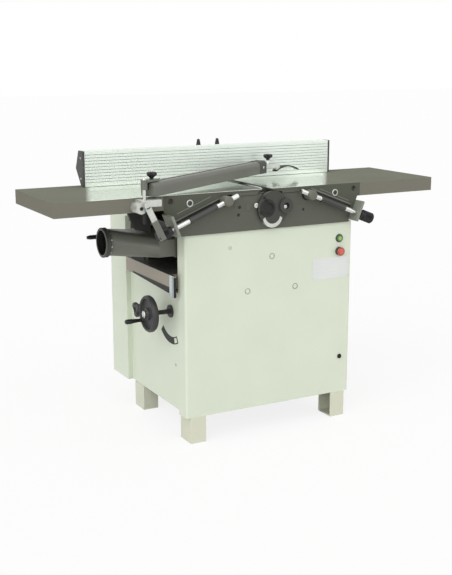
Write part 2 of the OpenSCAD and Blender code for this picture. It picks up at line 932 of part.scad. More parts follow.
module front_panel() color([0.85, 0.87, 0.8]) {
    w = 2 * cab_half_w;
    d = 2 * return_d;
    r = corner_r - sheet_t;
    difference() {
        union() {
            translate([0, 0, cab_bottom_z]) linear_extrude(height = cab_top_z - cab_bottom_z) difference() {
                translate([-cab_half_w, cab_front_y]) round_rect(w, d, corner_r);
                translate([sheet_t - cab_half_w, inner_y]) round_rect(w - 2 * sheet_t, d, r);
                translate([-cab_half_w - over, cab_front_y + return_d]) square([w + 2 * over, d]);
            }
            box([flange_inset - cab_half_w, inner_y, cab_top_z - sheet_t],
                [w - 2 * flange_inset, flange_w, sheet_t]);
        }
        ycyl(start_r + button_gap, sheet_t + 2 * over, [button_x, cab_front_y - over, start_z]);
        ycyl(stem_r + button_gap, sheet_t + 2 * over, [button_x, cab_front_y - over, stop_z]);
    }
}

module side_panel() {
    box([-panel_x, inner_y, cab_bottom_z], [sheet_t, house_front_y - inner_y, panel_top_z - cab_bottom_z]);
    box([sheet_t - panel_x, inner_y + angle_leg + hem_gap, panel_top_z - sheet_t],
        [hem_w, inner_rear_y - inner_y - angle_leg - 2 * hem_gap, sheet_t]);
}

module left_panel() color([0.85, 0.87, 0.8]) difference() {
    side_panel();
    xcyl(flange_boss_r, sheet_t + 2 * over, [-panel_x - over, wheel_y, wheel_z]);
    xcyl(lock_stem_r + fit, sheet_t + 2 * over, [-panel_x - over, lock_y, lock_z]);
}

module right_panel() color([0.85, 0.87, 0.8]) mirror([1, 0, 0]) side_panel();

module rear_housing() color([0.85, 0.87, 0.8]) difference() {
    box([-cab_half_w, house_front_y, cab_bottom_z],
        [2 * cab_half_w, house_back_y - house_front_y, cab_top_z - cab_bottom_z]);
    box([sheet_t - cab_half_w, house_front_y + sheet_t, cab_bottom_z + sheet_t],
        [2 * (cab_half_w - sheet_t), house_back_y - house_front_y, cab_top_z - cab_bottom_z - 2 * sheet_t]);
}

module rear_door() color([0.85, 0.87, 0.8]) {
    half = cab_half_w - sheet_t;
    low = cab_bottom_z + sheet_t;
    difference() {
        box([-half, house_back_y - 2 * sheet_t, low],
            [2 * half, sheet_t, cab_top_z - cab_bottom_z - 2 * sheet_t]);
        for (i = [0 : louvre_count - 1])
            box([-louvre_len / 2, house_back_y - 2 * sheet_t - over, low + louvre_rise + i * louvre_pitch],
                [louvre_len, sheet_t + 2 * over, louvre_h]);
    }
}

module drive_partition() color([0.25, 0.26, 0.24]) {
    half = panel_x - sheet_t;
    y = rear_cheek_back + partition_gap;
    low = panel_top_z - partition_lap;
    top = cab_top_z - sheet_t;
    difference() {
        box([-half, y, base_z], [2 * half, sheet_t, top - base_z]);
        ycyl(partition_hole_r, sheet_t + 2 * over, [motor_x, y - over, motor_z]);
    }
    for (x = [-half, half - sheet_t]) box([x, y, low], [sheet_t, house_front_y - y, top - low]);
    difference() {
        box([-half, y, top], [2 * half, house_front_y - y, sheet_t]);
        box([cutter_x - guard_box_left + sheet_t, y - over, top - over],
            [guard_box_left + guard_box_right - 2 * sheet_t, guard_box_d + over - partition_gap - sheet_t,
            sheet_t + 2 * over]);
    }
}

module plug(x, z) ycyl(plug_r, plug_h, [x, cab_front_y - plug_h, z]);

module panel_fittings() color([0.78, 0.8, 0.76]) {
    plug(plug_a_x, plug_a_z);
    plug(plug_b_x, plug_b_z);
    plug(plug_c_x, plug_c_z);
    xcyl(screw_head_r, screw_head_h, [-panel_x - screw_head_h, left_screw_y, left_screw_z]);
    for (s = [-1, 1], z = [cab_bottom_z + door_screw_in, cab_top_z - door_screw_in])
        ycyl(screw_head_r, screw_head_h, [s * (cab_half_w - door_screw_in), house_back_y - sheet_t, z]);
}

module button_bezels() color([0.2, 0.2, 0.2]) {
    difference() {
        ycyl(start_r + button_gap + bezel_wall, bezel_h, [button_x, cab_front_y - bezel_h, start_z]);
        ycyl(start_r + button_gap, bezel_h + 2 * over, [button_x, cab_front_y - bezel_h - over, start_z]);
    }
    difference() {
        ycyl(stop_r, bezel_h, [button_x, cab_front_y - bezel_h, stop_z]);
        ycyl(stem_r + button_gap, bezel_h + 2 * over, [button_x, cab_front_y - bezel_h - over, stop_z]);
    }
}

module start_button() color([0.35, 0.6, 0.25]) {
    front = cab_front_y - bezel_h - start_out;
    ycyl(start_r, inner_y - stroke - button_gap - front, [button_x, front, start_z]);
    ycyl(stem_r, inner_y + stem_in - front, [button_x, front, start_z]);
}

module stop_button() color([0.8, 0.25, 0.2]) {
    back = cab_front_y - bezel_h - stop_gap;
    ycyl(stop_r, stop_t, [button_x, back - stop_t, stop_z]);
    ycyl(stem_r, inner_y + stem_in - back, [button_x, back, stop_z]);
}

// outline of one bed cheek
module cheek_outline() {
    top = table_top_z - lip_t;
    foot = top - way_drop - way_gap;
    crest = top - way_lead * tan(way_angle) - way_gap;
    bay = top - bay_gap;
    lead = way_run + way_lead;
    polygon([[-bed_reach, cab_top_z], [bed_reach, cab_top_z], [bed_reach, foot], [lead, crest],
        [way_run, bay], [-way_run, bay], [-lead, crest], [-bed_reach, foot]]);
}

module bed() color([0.36, 0.37, 0.33]) translate([cutter_x, 0, 0]) {
    rail_top = cab_top_z;
    rail_low = hood_bottom_z - rail_gap - rail_t;
    tie_x = -tie_u - tie_w / 2;
    difference() {
        union() {
            xz(front_cheek_y, cheek_t) cheek_outline();
            xz(inner_rear_y, cheek_t) cheek_outline();
            for (u = [-tie_u, tie_u])
                box([u - tie_w / 2, inner_front_y, cab_top_z], [tie_w, inner_rear_y - inner_front_y, tie_h]);
        }
        ycyl(bearing_r, 2 * table_depth, [0, -table_depth, cutter_z]);
        for (u = [-roller_u, roller_u])
            ycyl(roller_journal_r + fit, 2 * table_depth, [u, -table_depth, roller_z]);
        ycyl(finger_shaft_r + fit, 2 * table_depth, [-finger_u, -table_depth, finger_z]);
    }
    rail_front = hood_front_y - rail_gap - rail_t;
    rail_back = hood_front_y + hood_w + rail_gap;
    for (y = [rail_front, rail_back]) box([tie_x, y, rail_low], [tie_w, rail_t, rail_top - rail_low]);
    for (y = [rail_front, rail_back + rail_t - rail_leg])
        box([tie_x, y, rail_low], [rail_len, rail_leg, rail_t]);
}

module bearing_cover() color([0.3, 0.31, 0.28]) translate([cutter_x, 0, 0]) difference() {
    union() {
        ycyl(cover_r, cover_t, [cover_u, front_cheek_y - cover_t, cover_z]);
        ycyl(hub_r, hub_h, [roller_u, front_cheek_y - cover_t - hub_h, roller_z]);
    }
    ycyl(recess_r, 2 * recess_d, [cover_u + recess_u, front_cheek_y - cover_t - recess_d, cover_z]);
    ycyl(hub_hole_r, cover_t + hub_h, [roller_u, front_cheek_y - cover_t - hub_h - over, roller_z]);
    box([cover_u - cover_r, table_front_y - way_gap, table_top_z - lip_t - bay_gap],
        [2 * cover_r, cover_t, cover_r]);
}

module cover_fittings() color([0.8, 0.81, 0.8]) translate([cutter_x + cover_u, 0, cover_z]) {
    for (i = [1 : bolt_count])
        rotate([0, i * 180 / (bolt_count + 1) + 90, 0])
            ycyl(bolt_r, bolt_h, [bolt_ring_share * cover_r, front_cheek_y - cover_t - bolt_h, 0]);
    xz(front_cheek_y - crescent_t, crescent_t) difference() {
        translate([0, -crescent_drop]) circle(r = crescent_r);
        circle(r = cover_r + crescent_gap);
        translate([-crescent_r, 0]) square([2 * crescent_r, crescent_r]);
    }
}

module cutter_bearings() color([0.75, 0.76, 0.77]) translate([cutter_x, 0, 0])
    for (y = [inner_front_y - bearing_w, inner_rear_y]) difference() {
        ycyl(bearing_r, bearing_w, [0, y, cutter_z]);
        ycyl(shaft_r + fit, bearing_w + 2 * over, [0, y - over, cutter_z]);
    }

// flanged flat-belt pulley along +Y
module pulley(r, at) {
    ycyl(r, pulley_w, at);
    ycyl(r + pulley_rim, pulley_flange, at);
    ycyl(r + pulley_rim, pulley_flange, at + [0, pulley_w - pulley_flange, 0]);
}

module cutter_block() color([0.6, 0.61, 0.62]) {
    low = inner_front_y + cutter_end_gap;
    len = inner_rear_y - inner_front_y - 2 * cutter_end_gap;
    translate([cutter_x, 0, cutter_z]) {
        difference() {
            ycyl(block_r, len, [0, low, 0]);
            for (i = [1 : knife_count]) rotate([0, i * 360 / knife_count, 0])
                box([-knife_t / 2, low - over, cutter_r - knife_d],
                    [knife_t + gib_t, len + 2 * over, knife_d]);
        }
        ycyl(shaft_r, pulley_y + pulley_w - front_cheek_y - over, [0, front_cheek_y + over, 0]);
        pulley(cutter_pulley_r, [0, pulley_y, 0]);
    }
}

module knives() color([0.85, 0.86, 0.87]) {
    low = inner_front_y + cutter_end_gap;
    len = inner_rear_y - inner_front_y - 2 * cutter_end_gap;
    translate([cutter_x, 0, cutter_z]) for (i = [1 : knife_count]) rotate([0, i * 360 / knife_count, 0]) {
        box([-knife_t / 2, low, cutter_r - knife_d],
            [knife_t, len, knife_d - knife_t * knife_t / (8 * cutter_r)]);
        box([knife_t / 2, low, cutter_r - knife_d], [gib_t, len, knife_d - knife_out - gib_drop]);
    }
}

module drive_belt() color([0.1, 0.1, 0.1]) xz(belt_y, belt_w) difference() {
    belt_outline(cutter_pulley_r + belt_gap + belt_t, motor_pulley_r + belt_gap + belt_t);
    belt_outline(cutter_pulley_r + belt_gap, motor_pulley_r + belt_gap);
}

module belt_guard() color([0.36, 0.37, 0.33]) difference() {
    top = cutter_z + cutter_pulley_r + pulley_rim + guard_box_clear + sheet_t;
    w = guard_box_left + guard_box_right;
    box([cutter_x - guard_box_left, rear_cheek_back, cab_top_z], [w, guard_box_d, top - cab_top_z]);
    box([cutter_x - guard_box_left + sheet_t, rear_cheek_back - over, cab_top_z - over],
        [w - 2 * sheet_t, guard_box_d + over - sheet_t, top - cab_top_z + over - sheet_t]);
}

module motor() color([0.42, 0.44, 0.45]) difference() {
    union() {
        ycyl(motor_r, motor_len - motor_cap, [motor_x, motor_front_y + motor_cap, motor_z]);
        ycyl(motor_r * motor_cap_share, motor_cap + over, [motor_x, motor_front_y, motor_z]);
        box([motor_x - terminal_w / 2, motor_front_y + 2 * motor_cap, motor_z],
            [terminal_w, terminal_w, motor_r + terminal_h / 2]);
        box([motor_x - motor_foot_w / 2, motor_front_y + 2 * motor_cap, base_z],
            [motor_foot_w, motor_len - 3 * motor_cap, motor_z - base_z]);
    }
    ycyl(motor_shaft_r + fit, motor_len, [motor_x, motor_front_y + motor_cap, motor_z]);
}

module motor_rotor() color([0.7, 0.71, 0.72]) {
    low = motor_front_y + 2 * motor_cap;
    ycyl(motor_shaft_r, pulley_y + pulley_w - low, [motor_x, low, motor_z]);
    pulley(motor_pulley_r, [motor_x, pulley_y, motor_z]);
}

// one table measured outwards from the cutter axis
module table_body(reach) {
    pocket_len = (reach - plate_break_u - 2 * rim_t - (pocket_count - 1) * rib_t) / pocket_count;
    difference() {
        translate([0, 0, table_top_z]) union() {
            xz(table_front_y, table_depth) polygon([[mouth_half, 0], [reach, 0], [reach, -plate_t],
                [plate_break_u, -plate_t], [way_run, -lip_t], [mouth_half, -lip_t]]);
            for (y = [table_front_y, table_back_y - skirt_t]) xz(y, skirt_t) polygon([[way_run, -lip_t],
                [way_end_u, way_end_z], [way_end_u - (way_end_z + lip_t) * tan(way_angle), -lip_t]]);
        }
        for (i = [0 : pocket_count - 1])
            box([plate_break_u + rim_t + i * (pocket_len + rib_t), table_front_y + skirt_t + rib_t,
                table_top_z - plate_t - over], [pocket_len, table_depth - 2 * (skirt_t + rib_t),
                plate_t + over - plate_skin_t]);
        ycyl(cutter_r + cutter_clear, 2 * table_depth, [0, -table_depth, cutter_z]);
        ycyl(lock_hole_r, lock_hole_depth + over, [lock_hole_u, table_front_y - over,
            table_top_z - lock_hole_drop]);
    }
}

// bracket plate on the end of the front skirt
module rod_bracket() on_rod() difference() {
    box([way_len, -bracket_out, -bracket_down], [bracket_t, bracket_out + rod_out + skirt_t,
        bracket_down + bracket_up]);
    xcyl(rod_r + fit, bracket_t + 2 * over, [way_len - over, 0, 0]);
}

// nut barrel with its lug on the bed
module trunnion() difference() {
    union() {
        on_rod() xcyl(trunnion_r, trunnion_len, [trunnion_s, 0, 0]);
        box([way_run + trunnion_s, rod_y - trunnion_r, table_top_z - lip_t - lug_h],
            [trunnion_len, front_cheek_y - rod_y + trunnion_r, lug_t]);
    }
    on_rod() xcyl(rod_r + thread_gap, trunnion_len + 6 * over, [trunnion_s - 2 * over, 0, 0]);
}

module adjuster_rod() on_rod() {
    xcyl(rod_r, rod_tip + way_len + bracket_t + knob_gap, [-rod_tip, 0, 0]);
    xcyl(sleeve_r, sleeve_len, [sleeve_s, 0, 0]);
}

module adjuster_knob() on_rod() {
    xcyl(knob_r * knob_collar_share, knob_collar, [way_len + bracket_t + knob_gap, 0, 0]);
    xcyl(knob_r, knob_len - knob_collar, [way_len + bracket_t + knob_gap + knob_collar, 0, 0]);
}

module outfeed_table() color([0.5, 0.51, 0.46]) left_side() table_body(outfeed_reach);

module outfeed_bracket() color([0.55, 0.58, 0.52]) left_side() rod_bracket();

module outfeed_rod() color([0.75, 0.76, 0.75]) left_side() adjuster_rod();

module outfeed_knob() color([0.1, 0.1, 0.1]) left_side() adjuster_knob();

module infeed_table() color([0.5, 0.51, 0.46]) right_side() table_body(infeed_reach);

module infeed_bracket() color([0.55, 0.58, 0.52]) right_side() rod_bracket();

module infeed_rod() color([0.75, 0.76, 0.75]) right_side() adjuster_rod();

module infeed_knob() color([0.1, 0.1, 0.1]) right_side() adjuster_knob();

module trunnions() color([0.35, 0.36, 0.33]) {
    left_side() trunnion();
    right_side() trunnion();
}

module roller_journal() ycyl(roller_journal_r, rear_cheek_back - front_cheek_y - 2 * over,
    [0, front_cheek_y + over, 0]);

module feed_roller_in() color([0.6, 0.61, 0.6]) translate([cutter_x - roller_u, 0, roller_z]) {
    step = 180 / serration_count;
    roller_journal();
    xz(inner_front_y + cutter_end_gap, inner_rear_y - inner_front_y - 2 * cutter_end_gap)
        polygon([for (i = [1 : 2 * serration_count]) (roller_r - (i % 2) * serration_d)
            * [cos(i * step), sin(i * step)]]);
}

module feed_roller_out() color([0.68, 0.69, 0.69]) translate([cutter_x + roller_u, 0, roller_z]) {
    roller_journal();
    ycyl(roller_r, inner_rear_y - inner_front_y - 2 * cutter_end_gap, [0, inner_front_y + cutter_end_gap, 0]);
}

module kickback_fingers() color([0.4, 0.41, 0.4]) translate([cutter_x - finger_u, 0, finger_z]) {
    span = inner_rear_y - inner_front_y - 2 * cutter_end_gap - finger_t;
    pitch = span / (finger_count - 1);
    ycyl(finger_shaft_r, rear_cheek_back - front_cheek_y - 2 * over, [0, front_cheek_y + over, 0]);
    for (i = [0 : finger_count - 1])
        xz(inner_front_y + cutter_end_gap + i * pitch, finger_t) {
            circle(r = finger_w / 2);
            polygon([[-finger_w / 2, 0], [finger_w / 2, 0], [finger_w / 4, -finger_len],
                [-finger_w / 2, -finger_len + finger_w / 2]]);
        }
}

module thickness_table() color([0.55, 0.54, 0.5]) difference() {
    union() {
        difference() {
            translate([0, 0, deck_bottom_z]) linear_extrude(height = deck_t)
                polygon([[-deck_half, deck_front_y], [deck_half, deck_front_y], [deck_half, deck_back_y],
                    [apron_x, deck_back_y], [apron_x, neck_front_y], [-deck_half, neck_front_y]]);
            box([deck_rim - deck_half, deck_front_y + deck_rim, deck_bottom_z - over],
                [2 * (deck_half - deck_rim), deck_back_y - deck_front_y - 2 * deck_rim,
                deck_t - deck_skin_t + over]);
        }
        for (x = [screw_x, guide_x]) box([x - rib_t / 2, deck_front_y + deck_rim / 2, deck_bottom_z],
            [rib_t, deck_back_y - deck_front_y - deck_rim, deck_t - deck_skin_t / 2]);
        for (y = [guide_front_y, guide_rear_y]) zcyl(guide_r + bush_wall, bush_len + deck_t - deck_skin_t / 2,
            [guide_x, y, deck_bottom_z - bush_len]);
        zcyl(nut_r, nut_len + deck_t - deck_skin_t / 2, [screw_x, wheel_y, deck_bottom_z - nut_len]);
    }
    for (y = [guide_front_y, guide_rear_y]) zcyl(guide_r + fit, bush_len + deck_t - deck_skin_t + over,
        [guide_x, y, deck_bottom_z - bush_len - over]);
    zcyl(screw_r + thread_gap, nut_len + deck_t - deck_skin_t + over,
        [screw_x, wheel_y, deck_bottom_z - nut_len - over]);
}

module table_apron() color([0.6, 0.58, 0.53]) {
    box([apron_x - apron_t, neck_front_y, deck_bottom_z], [apron_t, apron_back_y - neck_front_y, deck_t]);
    box([apron_x - apron_t, neck_front_y - plate_w, deck_bottom_z - plate_drop],
        [apron_t, plate_w, deck_t + plate_drop]);
}

module guide_columns() color([0.72, 0.73, 0.73]) for (y = [guide_front_y, guide_rear_y])
    zcyl(guide_r, deck_roof_z - column_top_gap - base_z, [guide_x, y, base_z]);

// straight bevel gear, apex at the origin, heel down
module bevel() {
    translate([0, 0, -gear_r]) cylinder(r1 = gear_r - tooth_down, r2 = gear_r - gear_face - tooth_down,
        h = gear_face);
    translate([0, 0, -gear_r - gear_hub_len]) cylinder(r = gear_hub_r, h = gear_hub_len);
    intersection() {
        translate([0, 0, -gear_r]) cylinder(r1 = gear_r + tooth_up, r2 = gear_r - gear_face + tooth_up,
            h = gear_face);
        union() for (i = [1 : tooth_count]) rotate([0, 0, i * 360 / tooth_count])
            box([0, -tooth_w / 2, -gear_r], [gear_r + gear_face, tooth_w, gear_face]);
    }
}

module lift_screw() color([0.66, 0.67, 0.67]) translate([screw_x, wheel_y, 0]) {
    low = wheel_z - gear_r - gear_hub_len;
    zcyl(screw_r, deck_roof_z - column_top_gap - low, [0, 0, low]);
    zcyl(journal_r, journal_len + over, [0, 0, low - journal_len]);
    translate([0, 0, wheel_z]) bevel();
}

module wheel_shaft() color([0.62, 0.63, 0.63]) {
    low = wheel_x - wheel_t / 2;
    xcyl(wheel_shaft_r, screw_x - gear_r - low, [low, wheel_y, wheel_z]);
    xcyl(wheel_nut_r, wheel_nut_h, [low - wheel_nut_h, wheel_y, wheel_z]);
    translate([screw_x, wheel_y, wheel_z]) rotate([0, 90, 0]) rotate([0, 0, 180 / tooth_count]) bevel();
}

module handwheel() color([0.22, 0.22, 0.22]) {
    grip_y = wheel_y + grip_ring * cos(grip_angle);
    grip_z = wheel_z + grip_ring * sin(grip_angle);
    difference() {
        xcyl(wheel_r, wheel_t, [wheel_x - wheel_t / 2, wheel_y, wheel_z]);
        for (x = [wheel_x - wheel_t, wheel_x + wheel_web / 2]) difference() {
            xcyl(wheel_r - wheel_rim, wheel_t - wheel_web / 2, [x, wheel_y, wheel_z]);
            xcyl(wheel_boss_r, 2 * wheel_t, [x - over, wheel_y, wheel_z]);
        }
        xcyl(wheel_shaft_r, 2 * wheel_t, [wheel_x - wheel_t, wheel_y, wheel_z]);
    }
    xcyl(grip_pin_r, wheel_t / 2 + grip_gap + grip_len / 2, [wheel_x - wheel_t / 2 - grip_gap - grip_len / 2,
        grip_y, grip_z]);
}

module crank_grip() color([0.08, 0.08, 0.08]) {
    grip_y = wheel_y + grip_ring * cos(grip_angle);
    grip_z = wheel_z + grip_ring * sin(grip_angle);
    face = wheel_x - wheel_t / 2 - grip_gap;
    difference() {
        xcyl(grip_r, grip_len, [face - grip_len, grip_y, grip_z]);
        xcyl(grip_pin_r + fit, grip_len / 2 + gear_gap + over,
            [face - grip_len / 2 - gear_gap, grip_y, grip_z]);
    }
}

module shaft_flange() color([0.2, 0.2, 0.2]) difference() {
    union() {
        xcyl(flange_r, flange_t, [-panel_x - flange_t, wheel_y, wheel_z]);
        xcyl(flange_boss_r, flange_boss_len, [-panel_x - over, wheel_y, wheel_z]);
    }
    xcyl(wheel_shaft_r + fit, 2 * flange_boss_len + 2 * flange_t,
        [-panel_x - 2 * flange_t, wheel_y, wheel_z]);
}

module lock_knob() color([0.16, 0.16, 0.16]) {
    low = -panel_x - lock_out - lock_t;
    xcyl(lobe_ring * knob_collar_share, lock_t, [low, lock_y, lock_z]);
    for (a = [90, 210, 330])
        xcyl(lobe_r, lock_t, [low, lock_y + lobe_ring * cos(a), lock_z + lobe_ring * sin(a)]);
    xcyl(lock_stem_r, lock_out + lock_t + hem_w, [low, lock_y, lock_z]);
}

// fence outline, Y back from the face, Z up from the foot
module fence_outline() polygon([[0, 0], [0, fence_h], [fence_top_w, fence_h], [fence_apex_w, fence_apex_h],
    [fence_foot_w, 0]]);

module fence() color([0.86, 0.89, 0.86]) difference() {
    translate([0, fence_front_y, fence_z]) yz(fence_left_x, fence_len) difference() {
        fence_outline();
        polygon([[fence_wall, fence_sole], [fence_wall, fence_h - fence_wall],
            [fence_top_w - fence_wall, fence_h - fence_wall], [fence_apex_w - 2 * fence_wall, fence_apex_h],
            [fence_foot_w + fence_wall / 2, fence_sole]]);
    }
    translate([bracket_x, fence_front_y, fence_z]) yz(-relief_half, 2 * relief_half)
        polygon([[fence_wall, -over], [2 * fence_apex_w, -over],
            [2 * fence_apex_w, 2 * fence_apex_w + relief_rise], [fence_wall, fence_wall + relief_rise]]);
    xcyl(pivot_r + fit, 2 * (relief_half + pin_hold + over),
        [bracket_x - relief_half - pin_hold - over, hinge_y, hinge_z]);
}

module fence_caps() color([0.3, 0.31, 0.29]) translate([0, fence_front_y, fence_z])
    for (x = [fence_left_x - fence_cap_t, fence_left_x + fence_len]) yz(x, fence_cap_t) fence_outline();

module fence_bar() color([0.66, 0.67, 0.66]) translate([bracket_x, 0, 0]) {
    low = hinge_z - eye_r;
    top = bar_z + bar_h;
    for (s = [-1, 1]) {
        x = s > 0 ? arm_half - arm_t : -arm_half;
        yz(x, arm_t) {
            translate([hinge_y, hinge_z]) circle(r = eye_r);
            polygon([[hinge_y, low], [bar_y, low], [bar_y, top], [yoke_y, top], [yoke_y, hinge_z + eye_r],
                [hinge_y, hinge_z + eye_r]]);
        }
        xcyl(pivot_r, relief_half + pin_hold - arm_half + over,
            [s > 0 ? arm_half - over : -relief_half - pin_hold, hinge_y, hinge_z]);
    }
    box([-arm_half, yoke_y, low], [2 * arm_half, yoke_d, top - low]);
    box([-bar_w / 2, bar_y - over, bar_z], [bar_w, bar_len + over, bar_h]);
}

module fence_bracket() color([0.36, 0.37, 0.33]) translate([bracket_x, 0, 0]) difference() {
    floor_z = bar_z - bar_gap - bracket_floor;
    union() {
        box([-arm_half, bracket_y, floor_z], [2 * arm_half, bracket_d, bracket_top_z - floor_z]);
        for (x = [-arm_half, arm_half - bracket_side]) yz(x, bracket_side)
            polygon([[rear_cheek_back, table_top_z - bracket_leg],
                [rear_cheek_back, table_top_z - bracket_shoulder], [bracket_y, floor_z],
                [bracket_y, bracket_top_z], [bracket_y + bracket_d, bracket_top_z],
                [bracket_y + bracket_d, floor_z], [rear_cheek_back + yoke_back, table_top_z - bracket_leg]]);
    }
    box([-bar_w / 2 - bar_gap, bracket_y - over, bar_z - bar_gap],
        [bar_w + 2 * bar_gap, bracket_d + 2 * over, bar_h + 2 * bar_gap]);
    for (x = [lever_left, lever_right]) zcyl(lever_stud_r + fit, lever_stud + 2 * over,
        [x, lever_y, bracket_top_z - lever_stud - lever_gap]);
}

// lock lever standing on the bracket
module fence_lever(x) translate([bracket_x + x, lever_y, bracket_top_z]) {
    zcyl(lever_stud_r, lever_stud + lever_gap + over, [0, 0, -lever_stud]);
    zcyl(lever_hub_r, lever_hub_h, [0, 0, lever_gap]);
    translate([0, 0, lever_gap + lever_hub_h]) cylinder(r1 = lever_foot_r, r2 = lever_top_r, h = lever_h);
}

module lever_left() color([0.12, 0.12, 0.12]) fence_lever(lever_left);

module lever_right() color([0.12, 0.12, 0.12]) fence_lever(lever_right);

// frame on the guard post, X along the beam
module on_guard() translate([post_x, post_y, 0]) rotate([0, 0, guard_angle]) children();

// frame on the guard beam, X up its slight rise
module on_beam() translate([post_x, post_y, beam_z]) rotate([0, 0, guard_angle]) rotate([0, -guard_tilt, 0])
    children();

// frame on the spring holder arm, turned back along the tables
module on_holder() on_beam() translate([beam_end + holder_stem / 2, 0, holder_rise])
    rotate([0, 0, -guard_angle]) children();

module guard_clamp() color([0.78, 0.79, 0.78]) difference() {
    lobe_x = post_x - block_left + block_lobe_r;
    front = post_y - block_d / 2;
    union() {
        box([lobe_x, front, table_top_z - block_drop - block_h],
            [block_left - block_lobe_r + block_right, table_front_y - front, block_h]);
        ycyl(block_lobe_r, table_front_y - front, [lobe_x, front, table_top_z - lobe_drop]);
    }
    zcyl(post_r + fit, 2 * post_drop, [post_x, post_y, table_top_z - 2 * post_drop]);
    ycyl(block_hole_r, block_hole_d + over, [lobe_x, front - over, table_top_z - lobe_drop]);
    ycyl(rel_pin_r + fit, rel_hold + 2 * over, [post_x + rel_x, front - 2 * over,
        table_top_z - rel_drop]);
}

module guard_post() color([0.8, 0.81, 0.8]) zcyl(post_r, post_drop + post_rise,
    [post_x, post_y, table_top_z - post_drop]);

module guard_head() color([0.7, 0.71, 0.7]) {
    key_at = star_at + key_back;
    key_len = head_len - key_at;
    on_guard() difference() {
        union() {
            zcyl(head_r, head_h, [0, 0, plate_z + head_t - head_h]);
            box([0, -head_w / 2, plate_z], [head_len, head_w, head_t]);
        }
        zcyl(post_r + fit, 2 * head_h, [0, 0, plate_z - head_h]);
        zcyl(stud_r + fit, 2 * head_t, [star_at, 0, plate_z - head_t / 2]);
    }
    on_beam() {
        box([key_at, -head_w / 2, beam_h + fit], [key_len, head_w, head_t - fit]);
        box([key_at, fit - beam_slot / 2, beam_h - beam_wall],
            [key_len, beam_slot - 2 * fit, beam_wall + head_t]);
    }
}

// arched beam outline, half width w and height h
module arch(w, h, r) {
    translate([-w, 0]) square([2 * w, h - r]);
    translate([r - w, 0]) square([2 * (w - r), h]);
    for (y = [r - w, w - r]) translate([y, h - r]) circle(r = r);
}

module guard_beam() color([0.42, 0.43, 0.39]) on_beam() {
    difference() {
        yz(beam_start, beam_len + beam_cap_t) arch(beam_w / 2, beam_h, beam_round);
        translate([0, 0, beam_wall]) yz(beam_start + beam_wall, beam_len - beam_wall)
            arch(beam_w / 2 - beam_wall, beam_h - 2 * beam_wall, beam_round - beam_wall);
        box([beam_start - over, -beam_slot / 2, beam_h / 2], [beam_len + over, beam_slot, beam_h]);
    }
}

// star knob, foot at the origin
module star(r, h) {
    zcyl(r * knob_collar_share, h, [0, 0, 0]);
    for (i = [1 : star_count]) rotate([0, 0, i * 360 / star_count])
        zcyl(r * star_lobe_share, h, [r * (1 - star_lobe_share), 0, 0]);
}

module guard_knob() color([0.1, 0.1, 0.1]) on_guard() translate([star_at, 0, plate_z + head_t]) {
    zcyl(stud_r, stud_down + head_t + lever_gap + star_h + stud_up, [0, 0, -stud_down - head_t]);
    translate([0, 0, lever_gap]) star(star_r, star_h);
}

// solid round the leaf spring's outer face
module leaf_round(r) ycyl(r, 2 * leaf_w, [leaf_at + leaf_chord / 2, -leaf_w, leaf_sag - leaf_drop - leaf_r]);

// outline of the spring holder, stem along the beam and arm along the tables
module holder_outline() translate([beam_end, 0]) {
    translate([0, -holder_w / 2]) square([holder_stem, holder_w]);
    translate([holder_stem / 2, 0]) rotate(-guard_angle) translate([0, -holder_w / 2])
        square([holder_arm, holder_w]);
}

module spring_holder() color([0.8, 0.82, 0.79]) difference() {
    union() {
        on_beam() translate([0, 0, holder_rise]) linear_extrude(height = holder_t) holder_outline();
        on_holder() box([holder_arm - holder_lug, -leaf_w / 2, -holder_lug_h],
            [holder_lug, leaf_w, holder_lug_h + holder_t / 2]);
    }
    on_holder() leaf_round(leaf_r);
    on_holder() zcyl(stud_r + fit, holder_t, [holder_knob_at, 0, holder_t / 2]);
}

module holder_knob() color([0.1, 0.1, 0.1]) on_holder() translate([holder_knob_at, 0, holder_t]) {
    zcyl(stud_r, holder_knob_stem + holder_t / 2 + over - lever_gap, [0, 0, lever_gap - holder_t / 2]);
    translate([0, 0, holder_knob_stem]) star(star_r, star_h);
}

module leaf_spring() color([0.13, 0.13, 0.13]) on_holder() intersection() {
    difference() {
        leaf_round(leaf_r);
        leaf_round(leaf_r - leaf_t);
    }
    box([leaf_at, -leaf_w / 2, -leaf_drop], [leaf_chord, leaf_w, leaf_sag + leaf_drop]);
}

module release_lever() color([0.75, 0.76, 0.74])
    translate([post_x + rel_x, rel_y, table_top_z - rel_drop]) rotate([0, -rel_angle, 0]) {
        box([-rel_w / 2, -rel_t, -rel_len], [rel_w, rel_t, rel_len]);
        ycyl(rel_w / 2, rel_t, [0, -rel_t, 0]);
        box([-rel_w / 2, -rel_t - rel_grip_extra, -rel_len], [rel_w, rel_t + 2 * rel_grip_extra,
            rel_len * rel_grip_share]);
        ycyl(rel_pin_r, rel_t + rel_gap + rel_hold - lever_gap, [0, -rel_t, 0]);
    }

